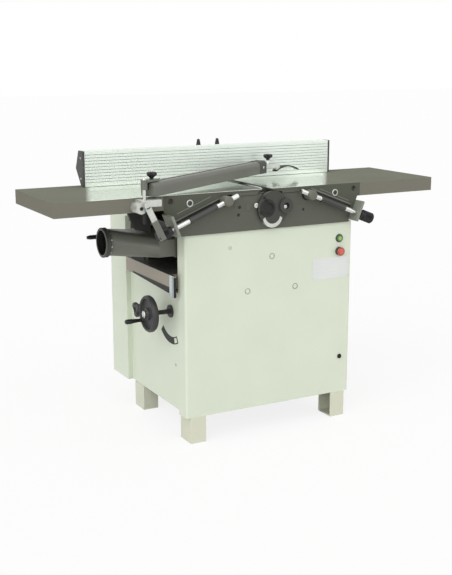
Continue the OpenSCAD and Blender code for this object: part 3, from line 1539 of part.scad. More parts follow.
module hood() color([0.42, 0.43, 0.4]) difference() {
    inner_w = hood_w - 2 * hood_wall;
    inner_h = hood_h - 2 * hood_wall;
    inner_at = [hood_corner_x, hood_front_y + hood_wall, hood_bottom_z + hood_wall];
    union() {
        box([hood_corner_x, hood_front_y, hood_bottom_z], [hood_end_x - hood_corner_x, hood_w, hood_h]);
        hull() {
            box([hood_corner_x, hood_front_y, hood_bottom_z], [sheet_t, hood_w, hood_h]);
            xcyl(spout_r, sheet_t, [spout_root_x, spout_y, spout_z]);
        }
        xcyl(spout_r, spout_root_x - spout_end_x + sheet_t, [spout_end_x, spout_y, spout_z]);
    }
    box(inner_at, [hood_end_x - hood_corner_x - hood_wall, inner_w, inner_h]);
    hull() {
        box(inner_at, [sheet_t, inner_w, inner_h]);
        xcyl(spout_r - hood_wall, sheet_t, [spout_root_x, spout_y, spout_z]);
    }
    xcyl(spout_r - hood_wall, spout_root_x - spout_end_x + sheet_t + over,
        [spout_end_x - over, spout_y, spout_z]);
    box([hood_end_x - hood_wall - mouth_len, hood_front_y + hood_wall, hood_bottom_z + hood_h / 2],
        [mouth_len, inner_w, hood_h]);
    xcyl(pull_r, pull_len, [pull_end_x, pull_y, pull_z]);
}

module hood_trim() color([0.08, 0.08, 0.08]) {
    difference() {
        xcyl(spout_r + collar_t, collar_w, [spout_end_x, spout_y, spout_z]);
        xcyl(spout_r, collar_w + 2 * over, [spout_end_x - over, spout_y, spout_z]);
    }
    xcyl(pull_r, pull_len, [pull_end_x, pull_y, pull_z]);
}

feet();
stand_frame();
front_panel();
left_panel();
right_panel();
rear_housing();
rear_door();
drive_partition();
panel_fittings();
button_bezels();
start_button();
stop_button();
bed();
bearing_cover();
cover_fittings();
cutter_bearings();
cutter_block();
knives();
drive_belt();
belt_guard();
motor();
motor_rotor();
outfeed_table();
outfeed_bracket();
outfeed_rod();
outfeed_knob();
trunnions();
infeed_table();
infeed_bracket();
infeed_rod();
infeed_knob();
feed_roller_in();
feed_roller_out();
kickback_fingers();
thickness_table();
table_apron();
guide_columns();
lift_screw();
wheel_shaft();
handwheel();
crank_grip();
shaft_flange();
lock_knob();
fence();
fence_caps();
fence_bar();
fence_bracket();
lever_left();
lever_right();
guard_clamp();
guard_post();
guard_head();
guard_beam();
guard_knob();
spring_holder();
holder_knob();
leaf_spring();
release_lever();
hood();
hood_trim();
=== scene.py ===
"""Studio scene of a combination planer thicknesser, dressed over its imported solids.

Lengths are metres in the frame of the solids: +X along the tables, +Y to the back, +Z up from the floor.
"""

from __future__ import annotations

import json
import logging
import math
from dataclasses import dataclass
from enum import Enum

import bmesh
import bpy
import numpy as np
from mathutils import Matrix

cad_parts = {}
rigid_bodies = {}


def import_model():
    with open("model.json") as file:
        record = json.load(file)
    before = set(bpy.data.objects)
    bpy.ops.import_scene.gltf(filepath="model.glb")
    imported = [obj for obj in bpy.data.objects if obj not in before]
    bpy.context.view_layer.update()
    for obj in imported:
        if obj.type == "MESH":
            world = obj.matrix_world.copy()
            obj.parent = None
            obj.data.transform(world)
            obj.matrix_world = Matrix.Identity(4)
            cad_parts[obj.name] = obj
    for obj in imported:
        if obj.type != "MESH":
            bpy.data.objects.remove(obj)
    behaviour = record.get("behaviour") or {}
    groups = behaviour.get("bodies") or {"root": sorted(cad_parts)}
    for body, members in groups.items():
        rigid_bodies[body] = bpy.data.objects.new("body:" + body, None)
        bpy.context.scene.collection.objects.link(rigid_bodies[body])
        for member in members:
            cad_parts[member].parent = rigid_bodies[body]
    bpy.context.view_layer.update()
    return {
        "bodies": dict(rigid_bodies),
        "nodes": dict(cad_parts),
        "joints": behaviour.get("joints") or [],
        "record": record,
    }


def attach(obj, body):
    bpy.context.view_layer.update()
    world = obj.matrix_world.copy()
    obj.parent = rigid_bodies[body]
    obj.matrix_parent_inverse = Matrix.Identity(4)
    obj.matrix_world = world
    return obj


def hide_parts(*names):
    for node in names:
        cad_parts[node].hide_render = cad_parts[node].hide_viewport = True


LOG = logging.getLogger("planer")
CREASE = 38.0
GRAIN_BAND = (0.3, 0.7)
TONE_BAND = (0.35, 0.65)
Array = np.ndarray
Piece = bpy.types.Object
Tree = bpy.types.NodeTree
Socket = bpy.types.NodeSocket
Pair = tuple[float, float]
Vec = tuple[float, float, float]
Trio = tuple[float, float, float]
Four = tuple[float, float, float, float]
Five = tuple[float, float, float, float, float]
Six = tuple[float, float, float, float, float, float]
Shape = list[Pair]


class Grain(tuple, Enum):
    """How the fine structure of a finish runs: the share of its frequency along X, Y and Z."""

    SPECKLE = (1.0, 1.0, 1.0)
    BRUSHED = (0.02, 1.0, 1.0)
    TURNED = (0.35, 0.02, 0.35)


class Axis(tuple, Enum):
    """Unit directions of the frame."""

    X = (1.0, 0.0, 0.0)
    Y = (0.0, 1.0, 0.0)
    Z = (0.0, 0.0, 1.0)
    LEFT = (-1.0, 0.0, 0.0)
    FRONT = (0.0, -1.0, 0.0)


def math_node(tree: Tree, operation: str, value: Socket, other: float | Socket) -> Socket:
    """Adds one math node.

    Args:
        tree: node tree to add to.
        operation: what the node works out.
        value: first input.
        other: second input, a number or a socket.

    Returns:
        The output socket.
    """
    node = tree.nodes.new("ShaderNodeMath")
    node.operation = operation
    tree.links.new(value, node.inputs[0])
    if isinstance(other, Socket):
        tree.links.new(other, node.inputs[1])
    else:
        node.inputs[1].default_value = other
    return node.outputs[0]


def map_range(tree: Tree, value: Socket, source: Pair, target: Pair = (0.0, 1.0),
              ease: str = "LINEAR") -> Socket:
    """Carries a value from one range to another and holds it inside that one.

    Args:
        tree: node tree to add to.
        value: the value.
        source: values that become the two ends of the target.
        target: lowest and highest result.
        ease: how the result runs between its ends.

    Returns:
        The result socket.
    """
    node = tree.nodes.new("ShaderNodeMapRange")
    node.interpolation_type = ease
    for name, number in zip(("From Min", "From Max", "To Min", "To Max"), (*source, *target)):
        node.inputs[name].default_value = number
    tree.links.new(value, node.inputs["Value"])
    return node.outputs["Result"]


def blend_colours(tree: Tree, factor: Socket, low: Vec | Socket, high: Vec | Socket) -> Socket:
    """Mixes two colours by a factor.

    Args:
        tree: node tree to add to.
        factor: socket from 0, the low colour, to 1, the high one.
        low: colour or colour socket.
        high: colour or colour socket.

    Returns:
        The mixed colour socket.
    """
    mix = tree.nodes.new("ShaderNodeMix")
    mix.data_type = "RGBA"
    tree.links.new(factor, mix.inputs["Factor"])
    for socket, value in ((mix.inputs[6], low), (mix.inputs[7], high)):
        if isinstance(value, Socket):
            tree.links.new(value, socket)
        else:
            socket.default_value = (*value, 1.0)
    return mix.outputs[2]


@dataclass(frozen=True)
class Finish:
    """A procedural finish: two close tones, a fine grain and a slow cloud over the surface.

    Attributes:
        name: material name.
        tone: main colour, linear RGB.
        shade: second colour that the cloud and grain lean to.
        metal: metallic share.
        rough: lowest and highest roughness.
        grain: how the grain runs.
        fine: grain frequency per metre.
        cloud: slow variation frequency per metre.
        relief: bump height of the grain, metres.
        gloss: specular level.
        bump: share of the relief that shows.
        octaves: finer layers of each noise.
    """

    name: str
    tone: Vec
    shade: Vec
    metal: float = 0.0
    rough: Pair = (0.4, 0.5)
    grain: Grain = Grain.SPECKLE
    fine: float = 900.0
    cloud: float = 6.0
    relief: float = 0.00004
    gloss: float = 0.3
    bump: float = 0.6
    octaves: float = 3.0

    def material(self) -> bpy.types.Material:
        """Returns the finish as a node material, made once and then shared.

        Returns:
            The material.
        """
        title = f"{self.name}_finish"
        found = bpy.data.materials.get(title)
        if found:
            return found
        mat = bpy.data.materials.new(title)
        mat.use_nodes = True
        tree = mat.node_tree
        shader = tree.nodes["Principled BSDF"]
        shader.inputs["Metallic"].default_value = self.metal
        shader.inputs["Specular IOR Level"].default_value = self.gloss
        place = tree.nodes.new("ShaderNodeTexCoord").outputs["Object"]
        fine = self._noise(tree, place, self.grain, self.fine)
        cloud = self._noise(tree, place, Grain.SPECKLE, self.cloud)
        mean = math_node(tree, "MULTIPLY", math_node(tree, "ADD", cloud, fine), 0.5)
        tones = blend_colours(tree, map_range(tree, mean, TONE_BAND), self.tone, self.shade)
        tree.links.new(self.paint(tree, place, tones), shader.inputs["Base Color"])
        tree.links.new(map_range(tree, fine, GRAIN_BAND, self.rough), shader.inputs["Roughness"])
        bump = tree.nodes.new("ShaderNodeBump")
        bump.inputs["Strength"].default_value = self.bump
        bump.inputs["Distance"].default_value = self.relief
        tree.links.new(fine, bump.inputs["Height"])
        tree.links.new(bump.outputs["Normal"], shader.inputs["Normal"])
        return mat

    def paint(self, tree: Tree, place: Socket, tones: Socket) -> Socket:
        """Returns the colour socket; a finish with a second paint overrides this."""
        return tones

    def _noise(self, tree: Tree, place: Socket, stretch: Grain, scale: float) -> Socket:
        """Adds a noise texture on stretched object coordinates.

        Args:
            tree: node tree to add to.
            place: object coordinate socket.
            stretch: share of the frequency along each axis.
            scale: frequency per metre.

        Returns:
            The factor socket of the noise.
        """
        mapping = tree.nodes.new("ShaderNodeMapping")
        mapping.inputs["Scale"].default_value = stretch
        noise = tree.nodes.new("ShaderNodeTexNoise")
        noise.inputs["Scale"].default_value = scale
        noise.inputs["Detail"].default_value = self.octaves
        tree.links.new(place, mapping.inputs["Vector"])
        tree.links.new(mapping.outputs["Vector"], noise.inputs["Vector"])
        return noise.outputs["Fac"]


CABINET = Finish("cabinet_paint", (0.66, 0.71, 0.59), (0.62, 0.675, 0.555), rough=(0.36, 0.46), fine=700.0,
                 relief=0.00003)
FOOT = Finish("foot_paint", (0.63, 0.64, 0.52), (0.59, 0.6, 0.485), rough=(0.38, 0.48), fine=700.0,
              relief=0.00003)
CASTING = Finish("casting_paint", (0.098, 0.104, 0.082), (0.082, 0.087, 0.068), rough=(0.38, 0.55),
                 fine=420.0, relief=0.00012)
COVER = Finish("cover_paint", (0.052, 0.054, 0.046), (0.043, 0.0445, 0.038), rough=(0.36, 0.5), fine=420.0,
               relief=0.0001)
INNER = Finish("inner_paint", (0.035, 0.036, 0.034), (0.025, 0.026, 0.024), rough=(0.6, 0.75))
BRIGHT = Finish("bright_steel", (0.68, 0.69, 0.67), (0.56, 0.57, 0.55), metal=1.0, rough=(0.18, 0.34),
                grain=Grain.TURNED, fine=1400.0, cloud=25.0, relief=0.00001)
CUTTER = Finish("cutter_steel", (0.12, 0.122, 0.11), (0.09, 0.092, 0.083), metal=0.7, rough=(0.4, 0.55),
                grain=Grain.TURNED, fine=1000.0, relief=0.00001)
BRACKET = Finish("bracket_grey", (0.235, 0.248, 0.208), (0.2, 0.212, 0.178), rough=(0.38, 0.5))
ALLOY = Finish("guard_alloy", (0.6, 0.62, 0.575), (0.48, 0.5, 0.46), metal=0.55, rough=(0.36, 0.52),
               fine=600.0, cloud=30.0, relief=0.00006)
BOSS = Finish("boss_paint", (0.15, 0.15, 0.12), (0.12, 0.12, 0.096), rough=(0.38, 0.52),
              fine=420.0, relief=0.0001)
# Steel of the gibs, also used for the light strips that are a painted highlight along the ribs.
WAY_EDGE_AND_HIGHLIGHT = Finish("way_edge_and_highlight", (0.2, 0.204, 0.176), (0.165, 0.17, 0.145), metal=0.3, rough=(0.32, 0.45),
             relief=0.00002)
FENCE = Finish("fence_aluminium", (0.8, 0.87, 0.8), (0.74, 0.81, 0.74), metal=0.3, rough=(0.3, 0.46),
               grain=Grain.BRUSHED, fine=900.0, cloud=4.0, relief=0.00002)
CAP = Finish("cap_plastic", (0.075, 0.078, 0.07), (0.06, 0.062, 0.056), rough=(0.5, 0.62), relief=0.00006)
KNOB = Finish("knob_plastic", (0.018, 0.018, 0.018), (0.012, 0.012, 0.012), rough=(0.26, 0.38), fine=1200.0)
WHEEL = Finish("wheel_plastic", (0.05, 0.05, 0.05), (0.035, 0.035, 0.035), rough=(0.4, 0.55), fine=1200.0)
RUBBER = Finish("rubber", (0.02, 0.02, 0.02), (0.014, 0.014, 0.014), rough=(0.6, 0.75))
GREEN = Finish("button_green", (0.085, 0.19, 0.042), (0.07, 0.16, 0.034), rough=(0.22, 0.3), gloss=0.5)
# The pale insert colours are partly a painted highlight on the buttons' domed tops, against the darker rim
# colours.
GREEN_INSERT_AND_HIGHLIGHT = Finish("green_insert_and_highlight", (0.27, 0.46, 0.15), (0.24, 0.42, 0.13), rough=(0.2, 0.28), gloss=0.5)
RED = Finish("button_red", (0.4, 0.06, 0.04), (0.35, 0.05, 0.034), rough=(0.22, 0.3), gloss=0.5)
RED_INSERT_AND_HIGHLIGHT = Finish("red_insert_and_highlight", (0.6, 0.125, 0.08), (0.54, 0.105, 0.068), rough=(0.2, 0.28), gloss=0.5)
HOOD = Finish("hood_paint", (0.145, 0.15, 0.124), (0.12, 0.124, 0.102), rough=(0.34, 0.48), fine=500.0)
BEAM = Finish("beam_paint", (0.125, 0.132, 0.105), (0.106, 0.112, 0.09), rough=(0.28, 0.4), fine=600.0,
              gloss=0.7)
MOTOR = Finish("motor_paint", (0.15, 0.165, 0.175), (0.125, 0.14, 0.15), rough=(0.45, 0.6))
SPRING = Finish("spring_black", (0.02, 0.02, 0.019), (0.014, 0.014, 0.013), metal=0.4, rough=(0.3, 0.42))
SLEEVE = Finish("sleeve_steel", (0.07, 0.072, 0.066), (0.052, 0.054, 0.05), metal=0.6, rough=(0.26, 0.38),
                relief=0.00002)
STEEL = Finish("screw_steel", (0.38, 0.39, 0.37), (0.28, 0.29, 0.275), metal=1.0, rough=(0.25, 0.4),
               grain=Grain.TURNED, fine=1400.0, relief=0.00001)
PLATE = Finish("blank_plate", (0.72, 0.74, 0.72), (0.64, 0.66, 0.645), metal=0.5, rough=(0.3, 0.42),
               grain=Grain.BRUSHED, fine=1200.0, relief=0.00001)
SCALE = Finish("scale_plate", (0.56, 0.63, 0.64), (0.5, 0.57, 0.585), metal=0.3, rough=(0.3, 0.4))
# Near black for print and black bolts, and for the pieces that are painted shade in holes, gaps and recesses
# and painted shadow under bosses.
PRINT_AND_SHADE_BLACK = Finish("print_and_shade_black", (0.02, 0.021, 0.019), (0.015, 0.016, 0.014), rough=(0.45, 0.6))


@dataclass(frozen=True)
class GroundIron(Finish):
    """Ground cast iron whose edges keep their paint, with a light painted reflection of the fence on the
    burnished stretch of its top.

    Attributes:
        edge_tone: colour of the painted edges.
        front_tone: colour of the front edge over the bed.
        top_z: height above which the metal is ground bright.
        front_y: the front edge lies before this.
        centre_x: middle of the darker front stretch.
        front_half: half length of the darker front stretch.
        reflection_tone: light colour of the burnished stretch, a painted reflection of the fence.
        burnish_reflection_x: middle of the burnished stretch and its painted reflection, at the origin of Y.
        burnish_reflection_slant: shift of that middle and growth of the half length, per metre towards the
            fence, following the slant of the fence's reflection.
        burnish_reflection_fade: distances from that middle between which the burnish and its painted
            reflection fade out.
    """

    edge_tone: Vec = (0.185, 0.179, 0.147)
    front_tone: Vec = (0.098, 0.104, 0.082)
    top_z: float = 0.8492
    front_y: float = -0.2405
    centre_x: float = -0.028
    front_half: float = 0.378
    reflection_tone: Vec = (0.77, 0.8, 0.735)
    burnish_reflection_x: float = -0.0985
    burnish_reflection_slant: Pair = (0.528, 0.152)
    burnish_reflection_fade: Pair = (0.45, 0.478)

    def paint(self, tree: Tree, place: Socket, tones: Socket) -> Socket:
        """Returns bare metal above top_z, with a light painted reflection of the fence on its burnished
        stretch, and the two edge paints below it.

        Args:
            tree: node tree to add to.
            place: object coordinate socket.
            tones: socket of the mixed tones.

        Returns:
            The colour socket.
        """
        parts = tree.nodes.new("ShaderNodeSeparateXYZ")
        tree.links.new(place, parts.inputs[0])
        x, y, z = parts.outputs
        middle = math_node(tree, "LESS_THAN", self._away(tree, x, self.centre_x), self.front_half)
        front = math_node(tree, "LESS_THAN", y, self.front_y)
        over_bed = math_node(tree, "MULTIPLY", middle, front)
        edge = blend_colours(tree, over_bed, self.edge_tone, self.front_tone)
        top = math_node(tree, "GREATER_THAN", z, self.top_z)
        # The burnished stretch is more metallic. Its light tone is a painted reflection of the fence, slanted
        # the same way as that reflection.
        shift = math_node(tree, "MULTIPLY", y, self.burnish_reflection_slant[0])
        away = self._away(tree, math_node(tree, "SUBTRACT", x, shift), self.burnish_reflection_x)
        growth = math_node(tree, "MULTIPLY", y, self.burnish_reflection_slant[1])
        fade = math_node(tree, "SUBTRACT", away, growth)
        burnish_and_reflection = map_range(tree, fade, self.burnish_reflection_fade[::-1], ease="SMOOTHSTEP")
        metal = math_node(tree, "MULTIPLY", math_node(tree, "MULTIPLY", burnish_and_reflection, self.metal), top)
        tree.links.new(metal, tree.nodes["Principled BSDF"].inputs["Metallic"])
        return blend_colours(tree, top, edge, blend_colours(tree, burnish_and_reflection, tones, self.reflection_tone))

    def _away(self, tree: Tree, place: Socket, middle: float) -> Socket:
        """Returns the distance of a coordinate from a middle."""
        return math_node(tree, "ABSOLUTE", math_node(tree, "SUBTRACT", place, middle), 0.0)


# The table's top carries a light painted reflection of the fence on its burnished stretch.
TABLE = GroundIron("table_iron", (0.225, 0.23, 0.185), (0.195, 0.2, 0.16), metal=0.95, rough=(0.08, 0.16),
                   grain=Grain.BRUSHED, fine=1100.0, cloud=5.0, relief=0.000008, gloss=0.0)
# The deck's burnished stretch is painted a little lighter, as a painted reflection.
DECK = GroundIron("deck_iron", (0.1, 0.095, 0.085), (0.08, 0.076, 0.068), metal=0.3, rough=(0.22, 0.36),
                  grain=Grain.BRUSHED, fine=1100.0, relief=0.00001, edge_tone=(0.29, 0.255, 0.2),
                  front_tone=(0.29, 0.255, 0.2), top_z=0.5762, reflection_tone=(0.11, 0.105, 0.094))

NODE_FINISH: dict[str, tuple[Finish, float]] = {
    "feet": (FOOT, 0.0015), "front_panel": (CABINET, 0.001), "left_panel": (CABINET, 0.001),
    "right_panel": (CABINET, 0.001), "rear_housing": (CABINET, 0.002), "rear_door": (CABINET, 0.0008),
    "stand_frame": (INNER, 0.0008), "drive_partition": (INNER, 0.0008), "bed": (CASTING, 0.002),
    "bearing_cover": (COVER, 0.0015), "cover_fittings": (BRIGHT, 0.0008), "cutter_bearings": (CUTTER, 0.0006),
    "cutter_block": (CUTTER, 0.0008), "knives": (STEEL, 0.0), "drive_belt": (RUBBER, 0.0008),
    "belt_guard": (CASTING, 0.002), "motor": (MOTOR, 0.003), "motor_rotor": (BRIGHT, 0.0008),
    "outfeed_table": (TABLE, 0.0012), "infeed_table": (TABLE, 0.0012), "outfeed_bracket": (BRACKET, 0.0012),
    "infeed_bracket": (BRACKET, 0.0012), "outfeed_rod": (BRIGHT, 0.0008), "infeed_rod": (BRIGHT, 0.0008),
    "outfeed_knob": (KNOB, 0.001), "infeed_knob": (KNOB, 0.001), "trunnions": (BOSS, 0.0012),
    "feed_roller_in": (CUTTER, 0.0), "feed_roller_out": (CUTTER, 0.0008),
    "kickback_fingers": (CUTTER, 0.0005),
    "thickness_table": (DECK, 0.0012), "table_apron": (DECK, 0.0012), "guide_columns": (BRIGHT, 0.001),
    "lift_screw": (BRIGHT, 0.0), "wheel_shaft": (WHEEL, 0.0), "handwheel": (WHEEL, 0.0015),
    "crank_grip": (KNOB, 0.001), "shaft_flange": (WHEEL, 0.001), "lock_knob": (WHEEL, 0.0015),
    "fence": (FENCE, 0.001), "fence_caps": (CAP, 0.001), "fence_bar": (BRIGHT, 0.001),
    "fence_bracket": (CASTING, 0.0025), "lever_left": (KNOB, 0.001), "lever_right": (KNOB, 0.001),
    "guard_clamp": (ALLOY, 0.0015), "guard_post": (BRIGHT, 0.001), "guard_head": (BEAM, 0.001),
    "guard_beam": (BEAM, 0.0015), "guard_knob": (KNOB, 0.001), "spring_holder": (ALLOY, 0.001),
    "holder_knob": (KNOB, 0.001), "leaf_spring": (SPRING, 0.0006), "release_lever": (BRIGHT, 0.001),
    "hood": (HOOD, 0.001), "hood_trim": (RUBBER, 0.001), "panel_fittings": (CABINET, 0.0005),
    "button_bezels": (CAP, 0.0006), "start_button": (GREEN, 0.001), "stop_button": (RED, 0.001),
}


@dataclass(frozen=True)
class Studio:
    """Floor, light and the camera of the photograph.

    Attributes:
        eye: camera position.
        yaw: degrees that the view turns from +Y towards +X.
        pitch: degrees that the view looks down.
        focal: focal length as a share of the long side of the picture.
        sensor: sensor width in millimetres.
        lamps: name, direction, apparent width in degrees and watts per square metre of each lamp.
        sky: strength of the world as light and as it is seen.
        floor_half: half size of the floor.
        floor_tone: colour of the floor, linear RGB.
        floor_rough: roughness of the floor.
        floor_gloss: specular level of the floor.
        floor_white: share of plain white in the floor as it is seen.
    """

    eye: Vec = (-1.74453, -3.12104, 1.27585)
    yaw: float = 28.495
    pitch: float = 12.816
    focal: float = 1.76437
    sensor: float = 36.0
    lamps: tuple[tuple[str, Vec, float, float], ...] = (("key", (-1.25, -0.85, 0.95), 60.0, 1.8),
                                                        ("fill", (0.7, -1.0, 0.7), 75.0, 0.82),
                                                        ("top", (-0.1, 0.4, 1.0), 80.0, 0.5))
    sky: Pair = (0.4, 1.0)
    floor_half: float = 30.0
    floor_tone: Vec = (0.9, 0.9, 0.88)
    floor_rough: float = 0.9
    floor_gloss: float = 0.1
    floor_white: float = 0.84

    def build(self) -> None:
        """Sets the camera, the lamps, the world and the floor."""
        scene = bpy.context.scene
        scene.view_settings.view_transform = "Standard"
        data = bpy.data.cameras.new("camera")
        data.sensor_width = self.sensor
        data.lens = self.focal * self.sensor
        camera = bpy.data.objects.new("camera", data)
        camera.location = self.eye
        camera.rotation_euler = (math.radians(90.0 - self.pitch), 0.0, math.radians(-self.yaw))
        scene.collection.objects.link(camera)
        scene.camera = camera
        for lamp in self.lamps:
            self._sun(*lamp)
        self._world(scene)
        self._floor()

    def _sun(self, name: str, towards: Vec, spread: float, power: float) -> None:
        """Adds one wide soft lamp that lights the whole floor evenly.

        Args:
            name: lamp name.
            towards: direction from the object to the lamp.
            spread: apparent width in degrees.
            power: watts per square metre.
        """
        data = bpy.data.lights.new(name, "SUN")
        data.angle = math.radians(spread)
        data.energy = power
        lamp = bpy.data.objects.new(name, data)
        turn = np.eye(4)
        turn[:3, 0], turn[:3, 1], turn[:3, 2] = axes(towards)
        lamp.matrix_world = turn.T.tolist()
        bpy.context.scene.collection.objects.link(lamp)

    def _world(self, scene: bpy.types.Scene) -> None:
        """Makes a world that is white to the camera and in reflections, and a soft fill elsewhere.

        Args:
            scene: scene that gets the world.
        """
        world = bpy.data.worlds.new("studio")
        scene.world = world
        world.use_nodes = True
        tree = world.node_tree
        sky = tree.nodes["Background"]
        sky.inputs["Color"].default_value = (1.0, 1.0, 1.0, 1.0)
        tree.links.new(seen_directly(tree, *self.sky), sky.inputs["Strength"])

    def _floor(self) -> None:
        """Lays a pale floor that stays near white and keeps the shadow."""
        h = self.floor_half
        corners = np.array([[-h, -h, 0.0], [h, -h, 0.0], [h, h, 0.0], [-h, h, 0.0]])
        floor = mesh_object("floor", corners, [[0, 1, 2, 3]])
        mat = bpy.data.materials.new("floor_white")
        mat.use_nodes = True
        tree = mat.node_tree
        shader = tree.nodes["Principled BSDF"]
        shader.inputs["Base Color"].default_value = (*self.floor_tone, 1.0)
        shader.inputs["Roughness"].default_value = self.floor_rough
        shader.inputs["Specular IOR Level"].default_value = self.floor_gloss
        glow = tree.nodes.new("ShaderNodeEmission")
        mix = tree.nodes.new("ShaderNodeMixShader")
        tree.links.new(seen_directly(tree, 0.0, self.floor_white), mix.inputs["Fac"])
        tree.links.new(shader.outputs[0], mix.inputs[1])
        tree.links.new(glow.outputs[0], mix.inputs[2])
        tree.links.new(mix.outputs[0], tree.nodes["Material Output"].inputs["Surface"])
        floor.data.materials.append(mat)


def seen_directly(tree: Tree, low: float, high: float) -> Socket:
    """Gives one value for camera, glossy and transmission rays and another for the rest.

    Args:
        tree: node tree to add to.
        low: value for diffuse light.
        high: value for rays that show the surface itself.

    Returns:
        The value socket.
    """
    path = tree.nodes.new("ShaderNodeLightPath").outputs
    glossy = math_node(tree, "MAXIMUM", path["Is Camera Ray"], path["Is Glossy Ray"])
    seen = math_node(tree, "MAXIMUM", glossy, path["Is Transmission Ray"])
    return map_range(tree, seen, (0.0, 1.0), (low, high))


def axes(direction: Vec) -> tuple[Array, Array, Array]:
    """Returns three unit vectors at right angles, the last along the direction.

    Args:
        direction: any direction.

    Returns:
        The three vectors.
    """
    e3 = np.asarray(direction, float)
    e3 = e3 / np.linalg.norm(e3)
    help_axis = np.array([0.0, 0.0, 1.0]) if abs(e3[2]) < 0.9 else np.array([1.0, 0.0, 0.0])
    e1 = np.cross(help_axis, e3)
    e1 = e1 / np.linalg.norm(e1)
    return e1, np.cross(e3, e1), e3


def mesh_object(name: str, points: Array, faces: list[list[int]], crease: float = CREASE) -> Piece:
    """Puts points and faces into a smooth-shaded mesh object with outward faces.

    Args:
        name: object name.
        points: n by 3 array.
        faces: vertex indices of each face.
        crease: angle in degrees past which an edge stays sharp.

    Returns:
        The new object, linked to the scene.
    """
    mesh = bpy.data.meshes.new(name)
    mesh.from_pydata(np.asarray(points, float).tolist(), [], faces)
    work = bmesh.new()
    work.from_mesh(mesh)
    bmesh.ops.recalc_face_normals(work, faces=work.faces)
    work.to_mesh(mesh)
    work.free()
    mesh.polygons.foreach_set("use_smooth", np.ones(len(mesh.polygons), bool))
    mesh.set_sharp_from_angle(angle=math.radians(crease))
    made = bpy.data.objects.new(name, mesh)
    bpy.context.scene.collection.objects.link(made)
    return made


def grid_faces(n: int, m: int) -> Array:
    """Returns the quads of an n by m grid that is closed round its second index.

    Args:
        n: rows of the grid.
        m: points of a row.

    Returns:
        A k by 4 array of point indices.
    """
    row, col = np.meshgrid(np.arange(n - 1) * m, np.arange(m), indexing="ij")
    nxt = (col + 1) % m
    return np.stack([row + col, row + nxt, row + m + nxt, row + m + col], -1).reshape(-1, 4)


def grid_object(name: str, points: Array, quads: Array, crease: float = CREASE) -> Piece:
    """Makes a surface from grid points and quads.

    Points that coincide, as at a pole or a seam, are merged; quads that lose a corner become triangles, and
    those that lose two are dropped.

    Args:
        name: object name.
        points: array of points with three coordinates last.
        quads: k by 4 array of point indices.
        crease: angle in degrees past which an edge stays sharp.

    Returns:
        The new object.
    """
    unique, index = np.unique(np.round(points.reshape(-1, 3), 7), axis=0, return_inverse=True)
    quads = index.reshape(-1)[quads]
    same = quads == np.roll(quads, -1, axis=1)
    lost = same.sum(1)
    faces = quads[lost == 0].tolist()
    single = quads[lost == 1]
    keep = ~same[lost == 1]
    faces += single[keep].reshape(-1, 3).tolist()
    return mesh_object(name, unique, faces, crease)


def rounded(profile: Shape, radius: float, steps: int = 4) -> Array:
    """Rounds the inner corners of a profile.

    Each corner becomes the quadratic curve through its two tangent points, with the corner as its handle; the
    tangent length is the radius over the tangent of the half angle, and at most 0.45 of either side.

    Args:
        profile: corner points.
        radius: corner radius.
        steps: pieces of each curve.

    Returns:
        The rounded profile as a k by 2 array.
    """
    p = np.asarray(profile, float)
    corner = p[1:-1]
    back, ahead = p[:-2] - corner, p[2:] - corner
    back_len = np.linalg.norm(back, axis=1, keepdims=True)
    ahead_len = np.linalg.norm(ahead, axis=1, keepdims=True)
    back, ahead = back / back_len, ahead / ahead_len
    half = 0.5 * np.arccos(np.clip((back * ahead).sum(1, keepdims=True), -0.9999, 0.9999))
    reach = np.minimum(radius / np.tan(half), 0.45 * np.minimum(back_len, ahead_len))
    s = np.linspace(0.0, 1.0, steps + 1)[None, :, None]
    start, end = (corner + back * reach)[:, None], (corner + ahead * reach)[:, None]
    curve = (1 - s) ** 2 * start + 2 * s * (1 - s) * corner[:, None] + s**2 * end
    return np.concatenate([p[:1], curve.reshape(-1, 2), p[-1:]])


def pin(radius: float, low: float, high: float) -> Shape:
    """Returns the shape of a plain round pin between two heights."""
    return [(0.0, low), (radius, low), (radius, high), (0.0, high)]


def densify(profile: Array, step: float) -> Array:
    """Adds points on a profile so that no two neighbours are further apart than the step.

    Each side is cut into equal parts, and the points are read off by their length along the profile.

    Args:
        profile: k by 2 array.
        step: longest distance kept.

    Returns:
        The denser profile.
    """
    run = np.linalg.norm(np.diff(profile, axis=0), axis=1)
    at = np.concatenate([[0.0], np.cumsum(run)])
    parts = np.maximum(1, np.ceil(run / step)).astype(int)
    first = np.concatenate([[0], np.cumsum(parts)[:-1]])
    order = np.arange(parts.sum()) - np.repeat(first, parts)
    along = np.repeat(at[:-1], parts) + order * np.repeat(run / parts, parts)
    along = np.append(along, at[-1])
    return np.stack([np.interp(along, at, profile[:, 0]), np.interp(along, at, profile[:, 1])], 1)


def angles(sides: int) -> Array:
    """Returns equal angles round a full turn."""
    return np.linspace(0.0, 2.0 * np.pi, sides, endpoint=False)


def flutes(profile: Array, sides: int, count: int, depth: float, band: Pair,
           phase: float = 0.0) -> Array:
    """Gives the radius factor of straight flutes.

    Inside the band it is 1 - depth * (1 - cos(count * (t - phase))) / 2 at the angle t, and 1 elsewhere.

    Args:
        profile: k by 2 array of radius and height.
        sides: points round the axis.
        count: flutes round the axis.
        depth: depth of a flute as a share of the radius.
        band: lowest and highest fluted height.
        phase: angle of one ridge.

    Returns:
        A k by sides array.
    """
    inside = (profile[:, 1:] >= band[0]) & (profile[:, 1:] <= band[1])
    return 1.0 - depth * inside * 0.5 * (1.0 - np.cos(count * (angles(sides) - phase)))


